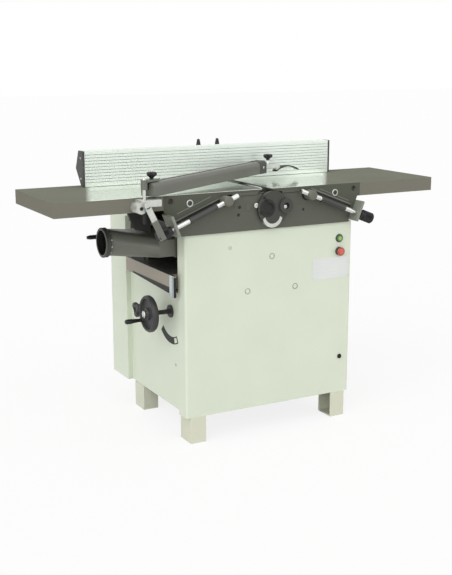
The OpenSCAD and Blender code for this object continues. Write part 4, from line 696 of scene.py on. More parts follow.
def helix(profile: Array, sides: int, pitch: float, depth: float, band: Pair) -> Array:
    """Gives the radius factor of a thread.

    Inside the band it is 1 - depth * (1 - cos(2 pi height / pitch - t)) / 2 at the angle t, and 1 elsewhere.

    Args:
        profile: k by 2 array of radius and height.
        sides: points round the axis.
        pitch: climb of one turn.
        depth: depth of the thread as a share of the radius.
        band: lowest and highest threaded height.

    Returns:
        A k by sides array.
    """
    inside = (profile[:, 1:] >= band[0]) & (profile[:, 1:] <= band[1])
    turn = 2.0 * np.pi * profile[:, 1:] / pitch - angles(sides)
    return 1.0 - depth * inside * 0.5 * (1.0 - np.cos(turn))


def turned(profile: Array, at: Vec, direction: Vec, sides: int, factor: Array | float = 1.0) -> Array:
    """Turns a profile about an axis: at + height * axis + radius * factor * (cos t, sin t).

    Args:
        profile: k by 2 array of radius and height.
        at: foot of the axis.
        direction: way that height runs.
        sides: points round the axis.
        factor: factor on the radius, one number or a k by sides array.

    Returns:
        A k by sides by 3 array of points.
    """
    e1, e2, e3 = axes(direction)
    t = angles(sides)
    ring = np.cos(t)[:, None] * e1 + np.sin(t)[:, None] * e2
    radius = profile[:, :1] * factor * np.ones(sides)
    return np.asarray(at) + profile[:, 1][:, None, None] * e3 + radius[:, :, None] * ring[None]


def revolve(name: str, profile: Array, at: Vec, direction: Vec, sides: int,
            factor: Array | float = 1.0) -> Piece:
    """Makes the surface that turned gives; the arguments are the same, after the name."""
    grid = turned(profile, at, direction, sides, factor)
    return grid_object(name, grid, grid_faces(len(profile), sides))


def lathe(name: str, shape: Shape, edge: float, at: Vec, direction: Vec, sides: int = 48) -> Piece:
    """Turns a shape whose inner corners are rounded by the edge; the other arguments are those of turned."""
    return revolve(name, rounded(shape, edge), at, direction, sides)


def hexagon(sides: int) -> Array:
    """Returns a hexagon's radius as a share of its corners': cos(30 deg) / cos(t mod 60 deg - 30 deg)."""
    sixth = np.pi / 3.0
    return np.cos(0.5 * sixth) / np.cos(np.mod(angles(sides), sixth) - 0.5 * sixth)


def copies(name: str, profile: Array, centres: Array, directions: Array, sides: int) -> Piece:
    """Turns one profile about many axes, as one mesh.

    Args:
        name: object name.
        profile: k by 2 array of radius and height.
        centres: n by 3 feet of the axes.
        directions: n by 3 directions.
        sides: points round each axis.

    Returns:
        The new object.
    """
    grids = np.stack([turned(profile, tuple(c), tuple(d), sides) for c, d in zip(centres, directions)])
    quads = grid_faces(len(profile), sides)
    offset = np.arange(len(centres))[:, None, None] * len(profile) * sides
    return grid_object(name, grids, (quads[None] + offset).reshape(-1, 4))


def boxes(name: str, centres: Array, halves: Array) -> Piece:
    """Makes upright boxes as one mesh: each corner is its middle plus or minus its half sizes.

    Args:
        name: object name.
        centres: n by 3 middles.
        halves: n by 3 half sizes.

    Returns:
        The new object.
    """
    ring = ((-1.0, -1.0), (1.0, -1.0), (1.0, 1.0), (-1.0, 1.0))
    sign = np.array([(*corner, z) for z in (-1.0, 1.0) for corner in ring])
    points = (centres[:, None] + halves[:, None] * sign[None]).reshape(-1, 3)
    quads = np.array([(0, 3, 2, 1), (4, 5, 6, 7), (0, 1, 5, 4), (1, 2, 6, 5), (2, 3, 7, 6), (3, 0, 4, 7)])
    first = np.arange(len(centres))[:, None, None] * len(sign)
    return mesh_object(name, points, (first + quads).reshape(-1, 4).tolist())


def slot_head(name: str, at: Vec, direction: Vec, radius: float, height: float) -> Piece:
    """Makes a slotted cheese head.

    Rows run across the slot at offsets x; each row is the chord of the circle at x, so its points are
    v * sqrt(radius^2 - x^2) for v from -1 to 1. The top is height * (1 - dome * (distance / radius)^4), less
    the slot's depth on the rows inside the slot, and each row returns along the foot, which closes the head.

    Args:
        name: object name.
        at: middle of the foot.
        direction: way that the head faces.
        radius: radius of the head.
        height: height of the head.

    Returns:
        The new object.
    """
    e1, e2, e3 = axes(direction)
    dome, slot, deep, root = 0.35, 0.14, 0.55, 0.2
    wall = 0.98 * slot
    side = np.sin(np.linspace(np.arcsin(slot), 0.5 * np.pi, 9))
    x = radius * np.concatenate([-side[::-1], [-wall, wall], side])
    v = np.sin(np.linspace(-0.5 * np.pi, 0.5 * np.pi, 15))
    y = v[None] * np.sqrt(np.maximum(radius**2 - x**2, 0.0))[:, None]
    spread = np.hypot(x[:, None], y) / radius
    sunk = (np.abs(x) < 0.5 * (wall + slot) * radius)[:, None]
    top = height * (1.0 - dome * spread**4) - deep * height * sunk
    foot = np.full_like(top, -root * height)
    across = np.concatenate([y, y[:, ::-1]], 1)
    up = np.concatenate([top, foot], 1)
    grid = np.asarray(at) + x[:, None, None] * e1 + across[..., None] * e2 + up[..., None] * e3
    return grid_object(name, grid, grid_faces(*grid.shape[:2]))


def socket_screw(name: str, at: Vec, direction: Vec, radius: float, height: float) -> Piece:
    """Makes a socket head screw: a turned head whose inner rows follow a hexagon.

    Args:
        name: object name.
        at: middle of the foot.
        direction: way that the head faces.
        radius: radius of the head.
        height: height of the head.

    Returns:
        The new object.
    """
    foot, bore = -0.1 * height, 0.53 * radius
    outer = rounded([(0.0, foot), (radius, foot), (radius, height), (0.62 * radius, height)], 0.15 * radius)
    inner = np.array([(0.56 * radius, height), (bore, 0.94 * height), (bore, 0.35 * height),
                      (0.0, 0.3 * height)])
    profile = np.concatenate([outer, inner])
    sides = 48
    factor = np.where(np.arange(len(profile))[:, None] >= len(outer), hexagon(sides), 1.0)
    return revolve(name, profile, at, direction, sides, factor)


def sweep(name: str, path: Array, profile: Array, side: Vec, crease: float = CREASE) -> Piece:
    """Carries a closed profile along a path and closes both ends.

    At each path point the profile's first coordinate runs along side and its second along tangent x side.

    Args:
        name: object name.
        path: n by 3 points.
        profile: m by 2 closed outline.
        side: fixed direction across the path.
        crease: angle in degrees past which an edge stays sharp.

    Returns:
        The new object.
    """
    path = np.asarray(path, float)
    tangent = np.gradient(path, axis=0)
    tangent /= np.linalg.norm(tangent, axis=1, keepdims=True)
    across = np.broadcast_to(np.asarray(side, float), tangent.shape)
    across = across - (across * tangent).sum(1, keepdims=True) * tangent
    across /= np.linalg.norm(across, axis=1, keepdims=True)
    up = np.cross(tangent, across)
    body = path[:, None] + profile[None, :, :1] * across[:, None] + profile[None, :, 1:] * up[:, None]
    n, m = body.shape[:2]
    faces = grid_faces(n, m).tolist() + [list(range(m)), list(range((n - 1) * m, n * m))]
    return mesh_object(name, body.reshape(-1, 3), faces, crease)


def slab(name: str, outline: Array | Shape, at: Vec, right: Vec, up: Vec, thick: float) -> Piece:
    """Makes a flat plate from an outline.

    Args:
        name: object name.
        outline: k by 2 points of the plate's face.
        at: origin of the outline.
        right: direction of its first coordinate.
        up: direction of its second coordinate.
        thick: thickness, along right x up.

    Returns:
        The new object.
    """
    right, up = np.asarray(right, float), np.asarray(up, float)
    outline = np.asarray(outline, float)
    face = np.asarray(at) + outline[:, :1] * right + outline[:, 1:] * up
    back = face + thick * np.cross(right, up)
    n = len(outline)
    i = np.arange(n)
    walls = np.stack([i, (i + 1) % n, n + (i + 1) % n, n + i], 1).tolist()
    faces = walls + [i.tolist(), (n + i).tolist()]
    return mesh_object(name, np.concatenate([face, back]), faces)


def round_plate(width: float, height: float, radius: float) -> Array:
    """Returns the outline of a centred rectangle with round corners, as quarter circles at its corners.

    Args:
        width: length along the first coordinate.
        height: length along the second coordinate.
        radius: corner radius.

    Returns:
        A k by 2 array.
    """
    quarter, points = 0.5 * np.pi, 6
    turn = np.concatenate([np.linspace(0.0, quarter, points) + k * quarter for k in range(4)])
    x = np.repeat([1, -1, -1, 1], points) * (width / 2 - radius) + radius * np.cos(turn)
    y = np.repeat([1, 1, -1, -1], points) * (height / 2 - radius) + radius * np.sin(turn)
    return np.stack([x, y], 1)


def rectangle(first: float, last: float, low: float, high: float) -> Shape:
    """Returns the corners of an upright rectangle between two places across and two heights."""
    return [(first, low), (last, low), (last, high), (first, high)]


def band(inner: float, outer: float, span: Pair, points: int, lift: float = 0.0) -> Array:
    """Returns the outline between two arcs.

    It runs along outer * (cos t, sin t) and back along inner * (cos t, sin t), raised by the lift.

    Args:
        inner: inner radius.
        outer: outer radius.
        span: first and last angle in degrees.
        points: points on each arc.
        lift: height of the inner arc's middle over the outer one's.

    Returns:
        A k by 2 array.
    """
    t = np.radians(np.linspace(*span, points))
    ring = np.stack([np.cos(t), np.sin(t)], 1)
    return np.concatenate([outer * ring, inner * ring[::-1] + np.array([0.0, lift])])


def soften(obj: Piece, width: float) -> None:
    """Welds a solid's triangles, joins its flat faces, rounds its edges and keeps the flats flat.

    Args:
        obj: the solid.
        width: width of the rounded edges.
    """
    gap, flat_angle, edge_angle = 0.00001, 1.0, 32.0
    weld = obj.modifiers.new("weld", "WELD")
    weld.merge_threshold = gap
    flat = obj.modifiers.new("flat", "DECIMATE")
    flat.decimate_type = "DISSOLVE"
    flat.angle_limit = math.radians(flat_angle)
    if width > 0.0:
        bevel = obj.modifiers.new("edge", "BEVEL")
        bevel.width = width
        bevel.segments = 2
        bevel.limit_method = "ANGLE"
        bevel.angle_limit = math.radians(edge_angle)
        normals = obj.modifiers.new("normals", "WEIGHTED_NORMAL")
        normals.weight = 100
        normals.keep_sharp = True


class Dresser:
    """Puts finishes on pieces and tells which body carries them."""

    def __init__(self, frame: dict) -> None:
        """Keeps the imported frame.

        Args:
            frame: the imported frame.
        """
        self.nodes: dict[str, Piece] = frame["nodes"]
        self.slots = {s["node"]: s["material_slot"] for s in frame["record"]["subparts"]}
        self.body_of = {n: b for b, names in frame["record"]["behaviour"]["bodies"].items() for n in names}

    def dress_solids(self) -> None:
        """Gives every solid its finish and softened edges."""
        for node, (finish, width) in NODE_FINISH.items():
            obj = self.nodes[node]
            obj.data.materials.clear()
            obj.data.materials.append(finish.material())
            obj.data.polygons.foreach_set("use_smooth", np.ones(len(obj.data.polygons), bool))
            soften(obj, width)
            LOG.info("solid %s in %s", node, finish.name)

    def add(self, obj: Piece, finish: Finish, carrier: str, *stands_for: str) -> None:
        """Finishes a new piece and lets it ride with a solid's body.

        Args:
            obj: the piece.
            finish: its finish.
            carrier: node on whose body it rides.
            stands_for: nodes that it replaces.
        """
        obj.data.materials.append(finish.material())
        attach(obj, self.body_of[carrier])
        if stands_for:
            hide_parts(*stands_for)
        LOG.info("piece %s on %s", obj.name, carrier)


@dataclass
class HeightScrews:
    """Slant screws that set the tables, each with a sleeve and a knurled knob.

    Attributes:
        foot_x: X of each screw's foot, left then right.
        foot: Y and Z of both feet.
        way_x: X where each way starts, left then right.
        way_z: Z where both ways start.
        way_span: stretch of the gibs and of the painted shade in the gaps down a way.
        rib_span: stretch of the painted highlights along the ribs down a way.
        slope: share of a screw's direction along X and down Z.
        boss: radius of a screw's boss, its place along the screw and its reach before the cheek.
        neck: radius of a boss's neck.
        shadow_ring: inner and outer radius of the painted shadow under a boss, a dark ring, and its first,
            last and turning angle.
        faces: Y of the bed's cheek and of the tables' front.
        rod: radius of the bare screw.
        span: stretch of the screw along itself.
        threads: stretch cut with a thread.
        pitch: thread pitch.
        sleeve: radius, start and end of the sleeve.
        bead: height of the beads at the sleeve's ends.
        knob: radius, start and end of the knob.
    """

    foot_x: Pair = (-0.170335, 0.114335)
    foot: Pair = (-0.266, 0.828696)
    way_x: Pair = (-0.174, 0.118)
    way_z: float = 0.838
    way_span: Pair = (0.026, 0.206)
    rib_span: Pair = (0.06, 0.19)
    slope: Pair = (0.930418, 0.366501)
    boss: Trio = (0.017, 0.02, 0.0435)
    neck: float = 0.0075
    shadow_ring: Five = (0.015, 0.0215, -186.0, 6.0, 21.5)
    faces: Pair = (-0.240, -0.242)
    rod: float = 0.008
    span: Pair = (-0.022, 0.236)
    threads: Pair = (0.036, 0.06)
    pitch: float = 0.004
    sleeve: Trio = (0.0115, 0.062, 0.168)
    bead: float = 0.0012
    knob: Trio = (0.019, 0.236, 0.288)

    def build(self, dresser: Dresser) -> None:
        """Builds both screws with their sleeves, knobs and bosses, and the strips along the ways.

        Args:
            dresser: finishes the pieces and sets them on their bodies.
        """
        for side, x, table in ((-1.0, self.foot_x[0], "outfeed"), (1.0, self.foot_x[1], "infeed")):
            at = (x, *self.foot)
            way = (side * self.slope[0], 0.0, -self.slope[1])
            dresser.add(self._rod(f"{table}_screw", at, way), BRIGHT, f"{table}_rod", f"{table}_rod")
            dresser.add(self._sleeve(f"{table}_sleeve", at, way), SLEEVE, f"{table}_rod")
            dresser.add(self._knob(f"{table}_grip", at, way), KNOB, f"{table}_knob", f"{table}_knob")
            dresser.add(self._cap(f"{table}_grip_cap", at, way), WHEEL, f"{table}_knob")
            stands_for = ("trunnions",) if side < 0 else ()
            dresser.add(self._boss(f"{table}_boss", at, way), BOSS, "trunnions", *stands_for)
            # The dark ring under each boss is painted shadow.
            dresser.add(self._shadow_ring(f"{table}_boss_shadow_ring", at, way, side), PRINT_AND_SHADE_BLACK, "bed")
        self._ways(dresser)

    def _ways(self, dresser: Dresser) -> None:
        """Lays the dark strip of painted shade in the gap along each way, the ground edge, and the light
        strip of painted highlight along each rib.

        Args:
            dresser: finishes the pieces and sets them on their bodies.
        """
        bed, table = self.faces
        way, rib = self.way_span, self.rib_span
        for name, side, span, rise, face, thick, finish, node in (
                # The dark strips are painted shade in the gap along each way.
                ("outfeed_gap_shade", -1.0, way, (-0.008, -0.001), bed, 0.0005, PRINT_AND_SHADE_BLACK, "bed"),
                ("infeed_gap_shade", 1.0, way, (0.0035, 0.0105), table, 0.0005, PRINT_AND_SHADE_BLACK, "infeed_table"),
                ("outfeed_gib", -1.0, way, (0.0008, 0.0048), table, 0.0012, WAY_EDGE_AND_HIGHLIGHT, "outfeed_table"),
                ("infeed_gib", 1.0, way, (0.0108, 0.0148), table, 0.0012, WAY_EDGE_AND_HIGHLIGHT, "infeed_table"),
                # The rib strips are a painted highlight on the ribs' edges.
                ("outfeed_edge_highlight", -1.0, rib, (0.021, 0.0235), table, 0.001, WAY_EDGE_AND_HIGHLIGHT, "outfeed_table"),
                ("infeed_edge_highlight", 1.0, rib, (0.021, 0.0235), table, 0.001, WAY_EDGE_AND_HIGHLIGHT, "infeed_table")):
            dresser.add(self._strip(name, side, span, rise, face, thick), finish, node)

    def _strip(self, name: str, side: float, span: Pair, rise: Pair, face: float, thick: float) -> Piece:
        """Lays a thin strip along a way.

        Args:
            name: object name.
            side: -1 for the left way, 1 for the right one.
            span: first and last distance down the way.
            rise: first and last distance square to the way.
            face: Y of the face that carries the strip.
            thick: thickness of the strip.

        Returns:
            The new object.
        """
        along, down = self.slope
        long, wide = span[1] - span[0], rise[1] - rise[0]
        middle = 0.5 * np.array([span[0] + span[1], rise[0] + rise[1]])
        outline = round_plate(long, wide, 0.45 * wide) + middle
        at = (self.way_x[int(side > 0)], face if side > 0 else face - thick, self.way_z)
        return slab(name, outline, at, (side * along, 0.0, -down), (side * down, 0.0, along), thick)

    def _centre(self, at: Vec, way: Vec) -> Vec:
        """Returns the middle of a boss on the bed's cheek."""
        x, _, z = np.asarray(at) + self.boss[1] * np.asarray(way)
        return (x, self.faces[0], z)

    def _boss(self, name: str, at: Vec, way: Vec) -> Piece:
        """Turns the boss that holds a screw: a slim neck, a broad body and a domed face.

        Args:
            name: object name.
            at: foot of its axis.
            way: direction of the screw.

        Returns:
            The new object.
        """
        r, _, reach = self.boss
        n = self.neck
        shape = [(0.0, -0.001), (n, -0.001), (n, 0.003), (r, 0.003), (r, reach - 0.006),
                 (0.8 * r, reach - 0.001), (0.0, reach)]
        return lathe(name, shape, 0.003, self._centre(at, way), Axis.FRONT, 64)

    def _shadow_ring(self, name: str, at: Vec, way: Vec, side: float) -> Piece:
        """Lays a painted shadow under a boss on the cheek: the lower part of a dark ring between two radii.

        Args:
            name: object name.
            at: foot of its axis.
            way: direction of the screw.
            side: -1 for the left screw, 1 for the right one.

        Returns:
            The new object.
        """
        inner, outer, first, last, turn = self.shadow_ring
        outline = band(inner, outer, (first - side * turn, last - side * turn), 41)
        return slab(name, outline, self._centre(at, way), Axis.X, Axis.Z, 0.0006)

    def _rod(self, name: str, at: Vec, way: Vec) -> Piece:
        """Turns the screw, with a rounded tip and a thread whose ridge climbs one pitch a turn.

        Args:
            name: object name.
            at: foot of its axis.
            way: direction of the screw.

        Returns:
            The new object.
        """
        sides, depth = 32, 0.1
        profile = densify(rounded(pin(self.rod, *self.span), 0.0015), self.pitch / 8.0)
        return revolve(name, profile, at, way, sides, helix(profile, sides, self.pitch, depth, self.threads))

    def _sleeve(self, name: str, at: Vec, way: Vec) -> Piece:
        """Turns the sleeve, a tube with a bead at each end.

        Args:
            name: object name.
            at: foot of its axis.
            way: direction of the screw.

        Returns:
            The new object.
        """
        r, low, high = self.sleeve
        bore, b = self.rod, self.bead
        shape = [(bore, low), (r - b, low), (r, low + b), (r, low + 0.006), (r - b, low + 0.007),
                 (r - b, high - 0.007), (r, high - 0.006), (r, high - b), (r - b, high), (bore, high),
                 (bore, low)]
        return revolve(name, rounded(shape, 0.0008, 3), at, way, 48)

    def _knob(self, name: str, at: Vec, way: Vec) -> Piece:
        """Turns the knob: a plain collar, then a fluted barrel between two rounded shoulders.

        Args:
            name: object name.
            at: foot of its axis.
            way: direction of the screw.

        Returns:
            The new object.
        """
        r, low, high = self.knob
        collar = low + 0.01
        shape = [(0.0, low), (0.8 * r, low), (0.8 * r, collar), (r, collar), (r, high - 0.001),
                 (r - 0.002, high), (0.62 * r, high), (0.58 * r, high - 0.002), (0.0, high - 0.002)]
        profile = densify(rounded(shape, 0.0022), 0.003)
        count, depth = 32, 0.09
        sides = 6 * count
        cut = flutes(profile, sides, count, depth, (collar + 0.004, high - 0.004))
        return revolve(name, profile, at, way, sides, cut)

    def _cap(self, name: str, at: Vec, way: Vec) -> Piece:
        """Turns the low domed disc in the end of the knob.

        Args:
            name: object name.
            at: foot of its axis.
            way: direction of the screw.

        Returns:
            The new object.
        """
        r, _, high = self.knob
        rim = 0.54 * r
        shape = [(0.0, high - 0.0025), (rim, high - 0.0025), (rim, high - 0.0012), (0.0, high - 0.0003)]
        return lathe(name, shape, 0.0008, at, way)


@dataclass
class LiftControls:
    """Handwheel with its crank grip, the lock knob, and the marks beside them.

    Attributes:
        hub: centre of the handwheel.
        radius: radius of the handwheel.
        half: half thickness of the rim.
        rim: width of the rim.
        boss: radius of the boss.
        web: height of the web's front at the boss and at the rim, and of its back at both.
        grip: axis foot, length and radius of the crank grip.
        spindle: start, radius and tip radius of the pin that the grip runs on.
        lock: back centre, thickness and radius of the lock knob.
        stem: radius and length of the lock's stem.
        panel_x: outer face of the left panel.
        arc: inner and outer radius of the turning mark, and its first and last angle.
        arc_end: the same for the pale field at its end.
        proud: height of the mark and of the field before the panel.
        nut: X of the hub nut's foot, its height and radius.
        scale: Y and Z of the depth plate's middle, its width and height, and X of the apron's face.
        ticks: marks on the depth plate.
        scale_screw: share of the plate's height, radius and height of the depth plate's screws.
        apron: first and last Y of the strip of painted shade along the apron's foot, and Z of its front foot,
            back foot and top.
    """

    hub: Vec = (-0.390, -0.081, 0.430)
    radius: float = 0.063
    half: float = 0.011
    rim: float = 0.011
    boss: float = 0.020
    web: Four = (0.001, -0.001, -0.006, -0.0035)
    grip: tuple[Vec, float, float] = ((-0.402, -0.04396, 0.40106), 0.06, 0.0085)
    spindle: Trio = (-0.0135, 0.004, 0.003)
    lock: tuple[Vec, float, float] = ((-0.348, 0.098, 0.404), 0.016, 0.030)
    stem: Pair = (0.006, 0.056)
    panel_x: float = -0.308
    arc: Four = (0.090, 0.115, -119.0, -46.0)
    arc_end: Four = (0.094, 0.111, -116.0, -105.0)
    proud: Pair = (0.0006, 0.0009)
    nut: Trio = (-0.4008, 0.0125, 0.0132)
    scale: Five = (-0.183, 0.540, 0.0296, 0.0736, -0.353)
    ticks: int = 28
    scale_screw: Trio = (0.38, 0.0026, 0.0012)
    apron: Five = (-0.166, 0.135, 0.514, 0.529, 0.535)

    def build(self, dresser: Dresser) -> None:
        """Builds the wheel, grip, lock and marks.

        Args:
            dresser: finishes the pieces and sets them on their bodies.
        """
        dresser.add(self._wheel(), WHEEL, "handwheel", "handwheel")
        dresser.add(self._spindle(), BRIGHT, "handwheel")
        dresser.add(self._grip(), KNOB, "crank_grip", "crank_grip")
        dresser.add(self._lock(), WHEEL, "lock_knob", "lock_knob")
        dresser.add(self._lock_stem(), WHEEL, "lock_knob")
        dresser.add(self._arc("turning_mark", self.arc, self.proud[0]), PRINT_AND_SHADE_BLACK, "left_panel")
        dresser.add(self._arc("turning_mark_end", self.arc_end, self.proud[1]), CABINET, "left_panel")
        dresser.add(self._nut(), BRIGHT, "wheel_shaft")
        self._scale(dresser)

    def _wheel(self) -> Piece:
        """Turns the wheel: a boss, a web set back from the front and a round rim.

        Returns:
            The new object.
        """
        h, r, b = self.half, self.radius, self.boss
        rim = r - self.rim
        sides = []
        for sign, (inner, outer) in ((1.0, self.web[:2]), (-1.0, self.web[2:])):
            sides.append([(0.0, sign * h), (b, sign * h), (b + 0.001, inner), (rim - 0.002, outer),
                          (rim, sign * (h - 0.003)), (rim + 0.003, sign * h),
                          (r - 0.004, sign * (h - 0.0005)), (r, sign * 0.45 * h)])
        front, back = sides
        return lathe("wheel", front + back[::-1], 0.004, self.hub, Axis.LEFT, 96)

    def _nut(self) -> Piece:
        """Turns the hub nut: six flats under a round dome.

        Returns:
            The new object.
        """
        x, height, r = self.nut
        shape = [(0.0, 0.0), (r, 0.0), (r, 0.78 * height), (0.8 * r, 0.84 * height),
                 (0.55 * r, 0.95 * height), (0.0, height)]
        profile = rounded(shape, 0.001)
        sides = 48
        factor = np.where(profile[:, :1] > 0.84 * r, hexagon(sides), 1.0)
        return revolve("wheel_nut", profile, (x, *self.hub[1:]), Axis.LEFT, sides, factor)

    def _spindle(self) -> Piece:
        """Turns the pin that the grip runs on.

        Returns:
            The new object.
        """
        foot, length, _ = self.grip
        low, r, tip = self.spindle
        shape = [(0.0, low), (r, low), (r, 0.4 * length), (tip, 0.45 * length), (0.0, 0.45 * length)]
        return lathe("grip_pin", shape, 0.0006, foot, Axis.LEFT, 24)

    def _grip(self) -> Piece:
        """Turns the grip, a swelling barrel with a bead at its root.

        Returns:
            The new object.
        """
        foot, length, r = self.grip
        shape = [(0.0, 0.0), (0.78 * r, 0.0), (0.82 * r, 0.004), (0.66 * r, 0.009), (0.8 * r, 0.022),
                 (r, 0.68 * length), (r, 0.9 * length), (0.7 * r, length), (0.0, length)]
        return lathe("grip", shape, 0.003, foot, Axis.LEFT)

    def _lock(self) -> Piece:
        """Turns the three-lobed lock knob with a shallow dish in its face.

        Returns:
            The new object.
        """
        foot, thick, r = self.lock
        shape = [(0.0, 0.0), (0.9 * r, 0.0), (r, 0.2 * thick), (r, 0.75 * thick), (0.88 * r, thick),
                 (0.4 * r, thick), (0.34 * r, 0.8 * thick), (0.0, 0.8 * thick)]
        profile = densify(rounded(shape, 0.003), 0.004)
        sides, lobes, depth = 96, 3, 0.46
        cut = flutes(profile, sides, lobes, depth, (-thick, 2.0 * thick), -0.5 * np.pi)
        cut = np.where(profile[:, :1] > 0.42 * r, cut, 1.0)
        return revolve("lock_grip", profile, foot, Axis.LEFT, sides, cut)

    def _lock_stem(self) -> Piece:
        """Turns the lock's stem with its collar against the panel.

        Returns:
            The new object.
        """
        foot = self.lock[0]
        r, length = self.stem
        shape = [(0.0, -length), (r, -length), (r, -0.041), (1.7 * r, -0.0395), (1.7 * r, -0.036),
                 (r, -0.034), (r, 0.001), (0.0, 0.001)]
        return lathe("lock_stem", shape, 0.0008, foot, Axis.LEFT, 32)

    def _arc(self, name: str, span: Four, proud: float) -> Piece:
        """Lays a thin curved band about the wheel's axis on the panel, between two radii and two angles."""
        at = (self.panel_x - proud, *self.hub[1:])
        return slab(name, band(*span[:2], span[2:], 25), at, Axis.Y, Axis.Z, 0.0008)

    def _scale(self, dresser: Dresser) -> None:
        """Lays the depth plate with its front edge in painted shade, ticks and screws, and the strip of
        painted shade along the foot of the table apron.

        Args:
            dresser: finishes the pieces and sets them on their bodies.
        """
        y, z, width, height, face = self.scale
        outline = round_plate(width, height, 0.002)
        plate = slab("depth_plate", outline, (face - 0.0006, y, z), Axis.Y, Axis.Z, 0.0008)
        dresser.add(plate, SCALE, "table_apron")
        # The dark edge at the plate's front end is painted shade.
        outline = round_plate(0.0096, 0.9 * height, 0.001)
        at = (face + 0.005, y - 0.0151, z - 0.02 * height)
        dresser.add(slab("depth_plate_shade_edge", outline, at, Axis.LEFT, Axis.Z, -0.0006), PRINT_AND_SHADE_BLACK, "table_apron")
        # The dark strip along the apron's foot is painted shade.
        front, back, low, rear, high = self.apron
        outline = [(front, low), (back, rear), (back, high), (front, high)]
        strip = slab("apron_shade_strip", outline, (face - 0.0005, 0.0, 0.0), Axis.Y, Axis.Z, 0.007)
        dresser.add(strip, PRINT_AND_SHADE_BLACK, "table_apron")
        dresser.add(self._ticks(), PRINT_AND_SHADE_BLACK, "table_apron")
        share, r, head = self.scale_screw
        for i, side in ((1, 1.0), (2, -1.0)):
            at = (face - 0.0006, y + 0.3 * width, z + side * share * height)
            dresser.add(slot_head(f"depth_plate_screw_{i}", at, Axis.LEFT, r, head), BRIGHT, "table_apron")

    def _ticks(self) -> Piece:
        """Makes the depth plate's marks: equal steps up the plate, every fifth mark longer.

        Returns:
            The new object.
        """
        y, z, width, height, face = self.scale
        n = self.ticks
        rows = np.linspace(-0.46 * height, 0.46 * height, n)
        reach = np.where(np.arange(n) % 5 == 0, 0.45, 0.25) * width
        centre = np.stack([np.full(n, face - 0.0008), y - 0.46 * width + 0.5 * reach, z + rows], 1)
        half = np.stack([np.full(n, 0.0003), 0.5 * reach, np.full(n, 0.00025)], 1)
        return boxes("depth_ticks", centre, half)


@dataclass
class FenceSet:
    """Ribbed face of the fence, its end screws and the two lock levers.

    Attributes:
        face_y: front of the fence.
        foot: Z of the fence's foot and its height.
        ends: X of both ends.
        ribs: ribs on the face.
        groove: depth and half width of the grooves.
        margin: distance of the outer grooves from the foot and from the top.
        cap: thickness of the end caps.
        end_rows: shares of the height at which the end screws sit.
        end_screw: distance of the end screws behind the face, their radius and height.
        lever_x: X of both levers.
        lever_y: Y of both levers.
        lever_z: foot of the levers.
        lever: hub radius, top radius and height of a lever.
    """

    face_y: float = 0.073
    foot: Pair = (0.851, 0.119)
    ends: Pair = (-0.545, 0.425)
    ribs: int = 11
    groove: Pair = (0.00005, 0.0015)
    margin: Pair = (0.004, 0.003)
    cap: float = 0.008
    end_rows: Pair = (0.22, 0.8)
    end_screw: Trio = (0.017, 0.0042, 0.0015)
    lever_x: Pair = (-0.038, 0.040)
    lever_y: float = 0.236
    lever_z: float = 0.9049
    lever: Trio = (0.011, 0.0055, 0.076)

    def build(self, dresser: Dresser) -> None:
        """Builds the face, the end screws and the levers.

        Args:
            dresser: finishes the pieces and sets them on their bodies.
        """
        dresser.add(self._face(), FENCE, "fence")
        inset, r, head = self.end_screw
        left, right = self.ends[0] - self.cap, self.ends[1] + self.cap
        for side, out, x in (("left", Axis.LEFT, left), ("right", Axis.X, right)):
            for row, share in enumerate(self.end_rows, 1):
                at = (x, self.face_y + inset, self.foot[0] + share * self.foot[1])
                screw = slot_head(f"fence_end_screw_{side}_{row}", at, out, r, head)
                dresser.add(screw, BRIGHT, "fence_caps")
        for x, node in zip(self.lever_x, ("lever_left", "lever_right")):
            dresser.add(self._lever(node, x), KNOB, node, node)

    def _face(self) -> Piece:
        """Carries a ribbed strip along the fence: flat ribs with a narrow trough between each pair.

        Returns:
            The new object.
        """
        low, height = self.foot
        edges = np.linspace(self.margin[0], height - self.margin[1], self.ribs + 1)
        deep, lip = self.groove
        z = (edges[:, None] + np.array([-lip, -0.4 * lip, 0.4 * lip, lip])).reshape(-1)[2:-2]
        depth = np.tile([deep, 0.0, 0.0, deep], self.ribs + 1)[2:-2]
        front = np.stack([z, depth], 1)
        back = np.array([[z[-1], -0.001], [z[0], -0.001]])
        path = np.array([[self.ends[0], self.face_y, low], [self.ends[1], self.face_y, low]])
        return sweep("fence_face", path, np.concatenate([front, back]), Axis.Z, crease=3.0)

    def _lever(self, node: str, x: float) -> Piece:
        """Turns a lever: a skirted hub, a waist and a tapering handle with a round top.

        Args:
            node: node that it replaces.
            x: X of its middle.

        Returns:
            The new object.
        """
        hub, top, height = self.lever
        shape = [(0.0, -0.012), (0.005, -0.012), (0.005, 0.0), (hub, 0.0), (hub, 0.009), (0.8 * hub, 0.013),
                 (0.62 * hub, 0.016), (0.8 * hub, 0.026), (0.84 * hub, 0.05), (top, height - 0.004),
                 (0.7 * top, height), (0.0, height)]
        at = (x, self.lever_y, self.lever_z)
        return lathe(f"{node}_handle", shape, 0.0025, at, Axis.Z)


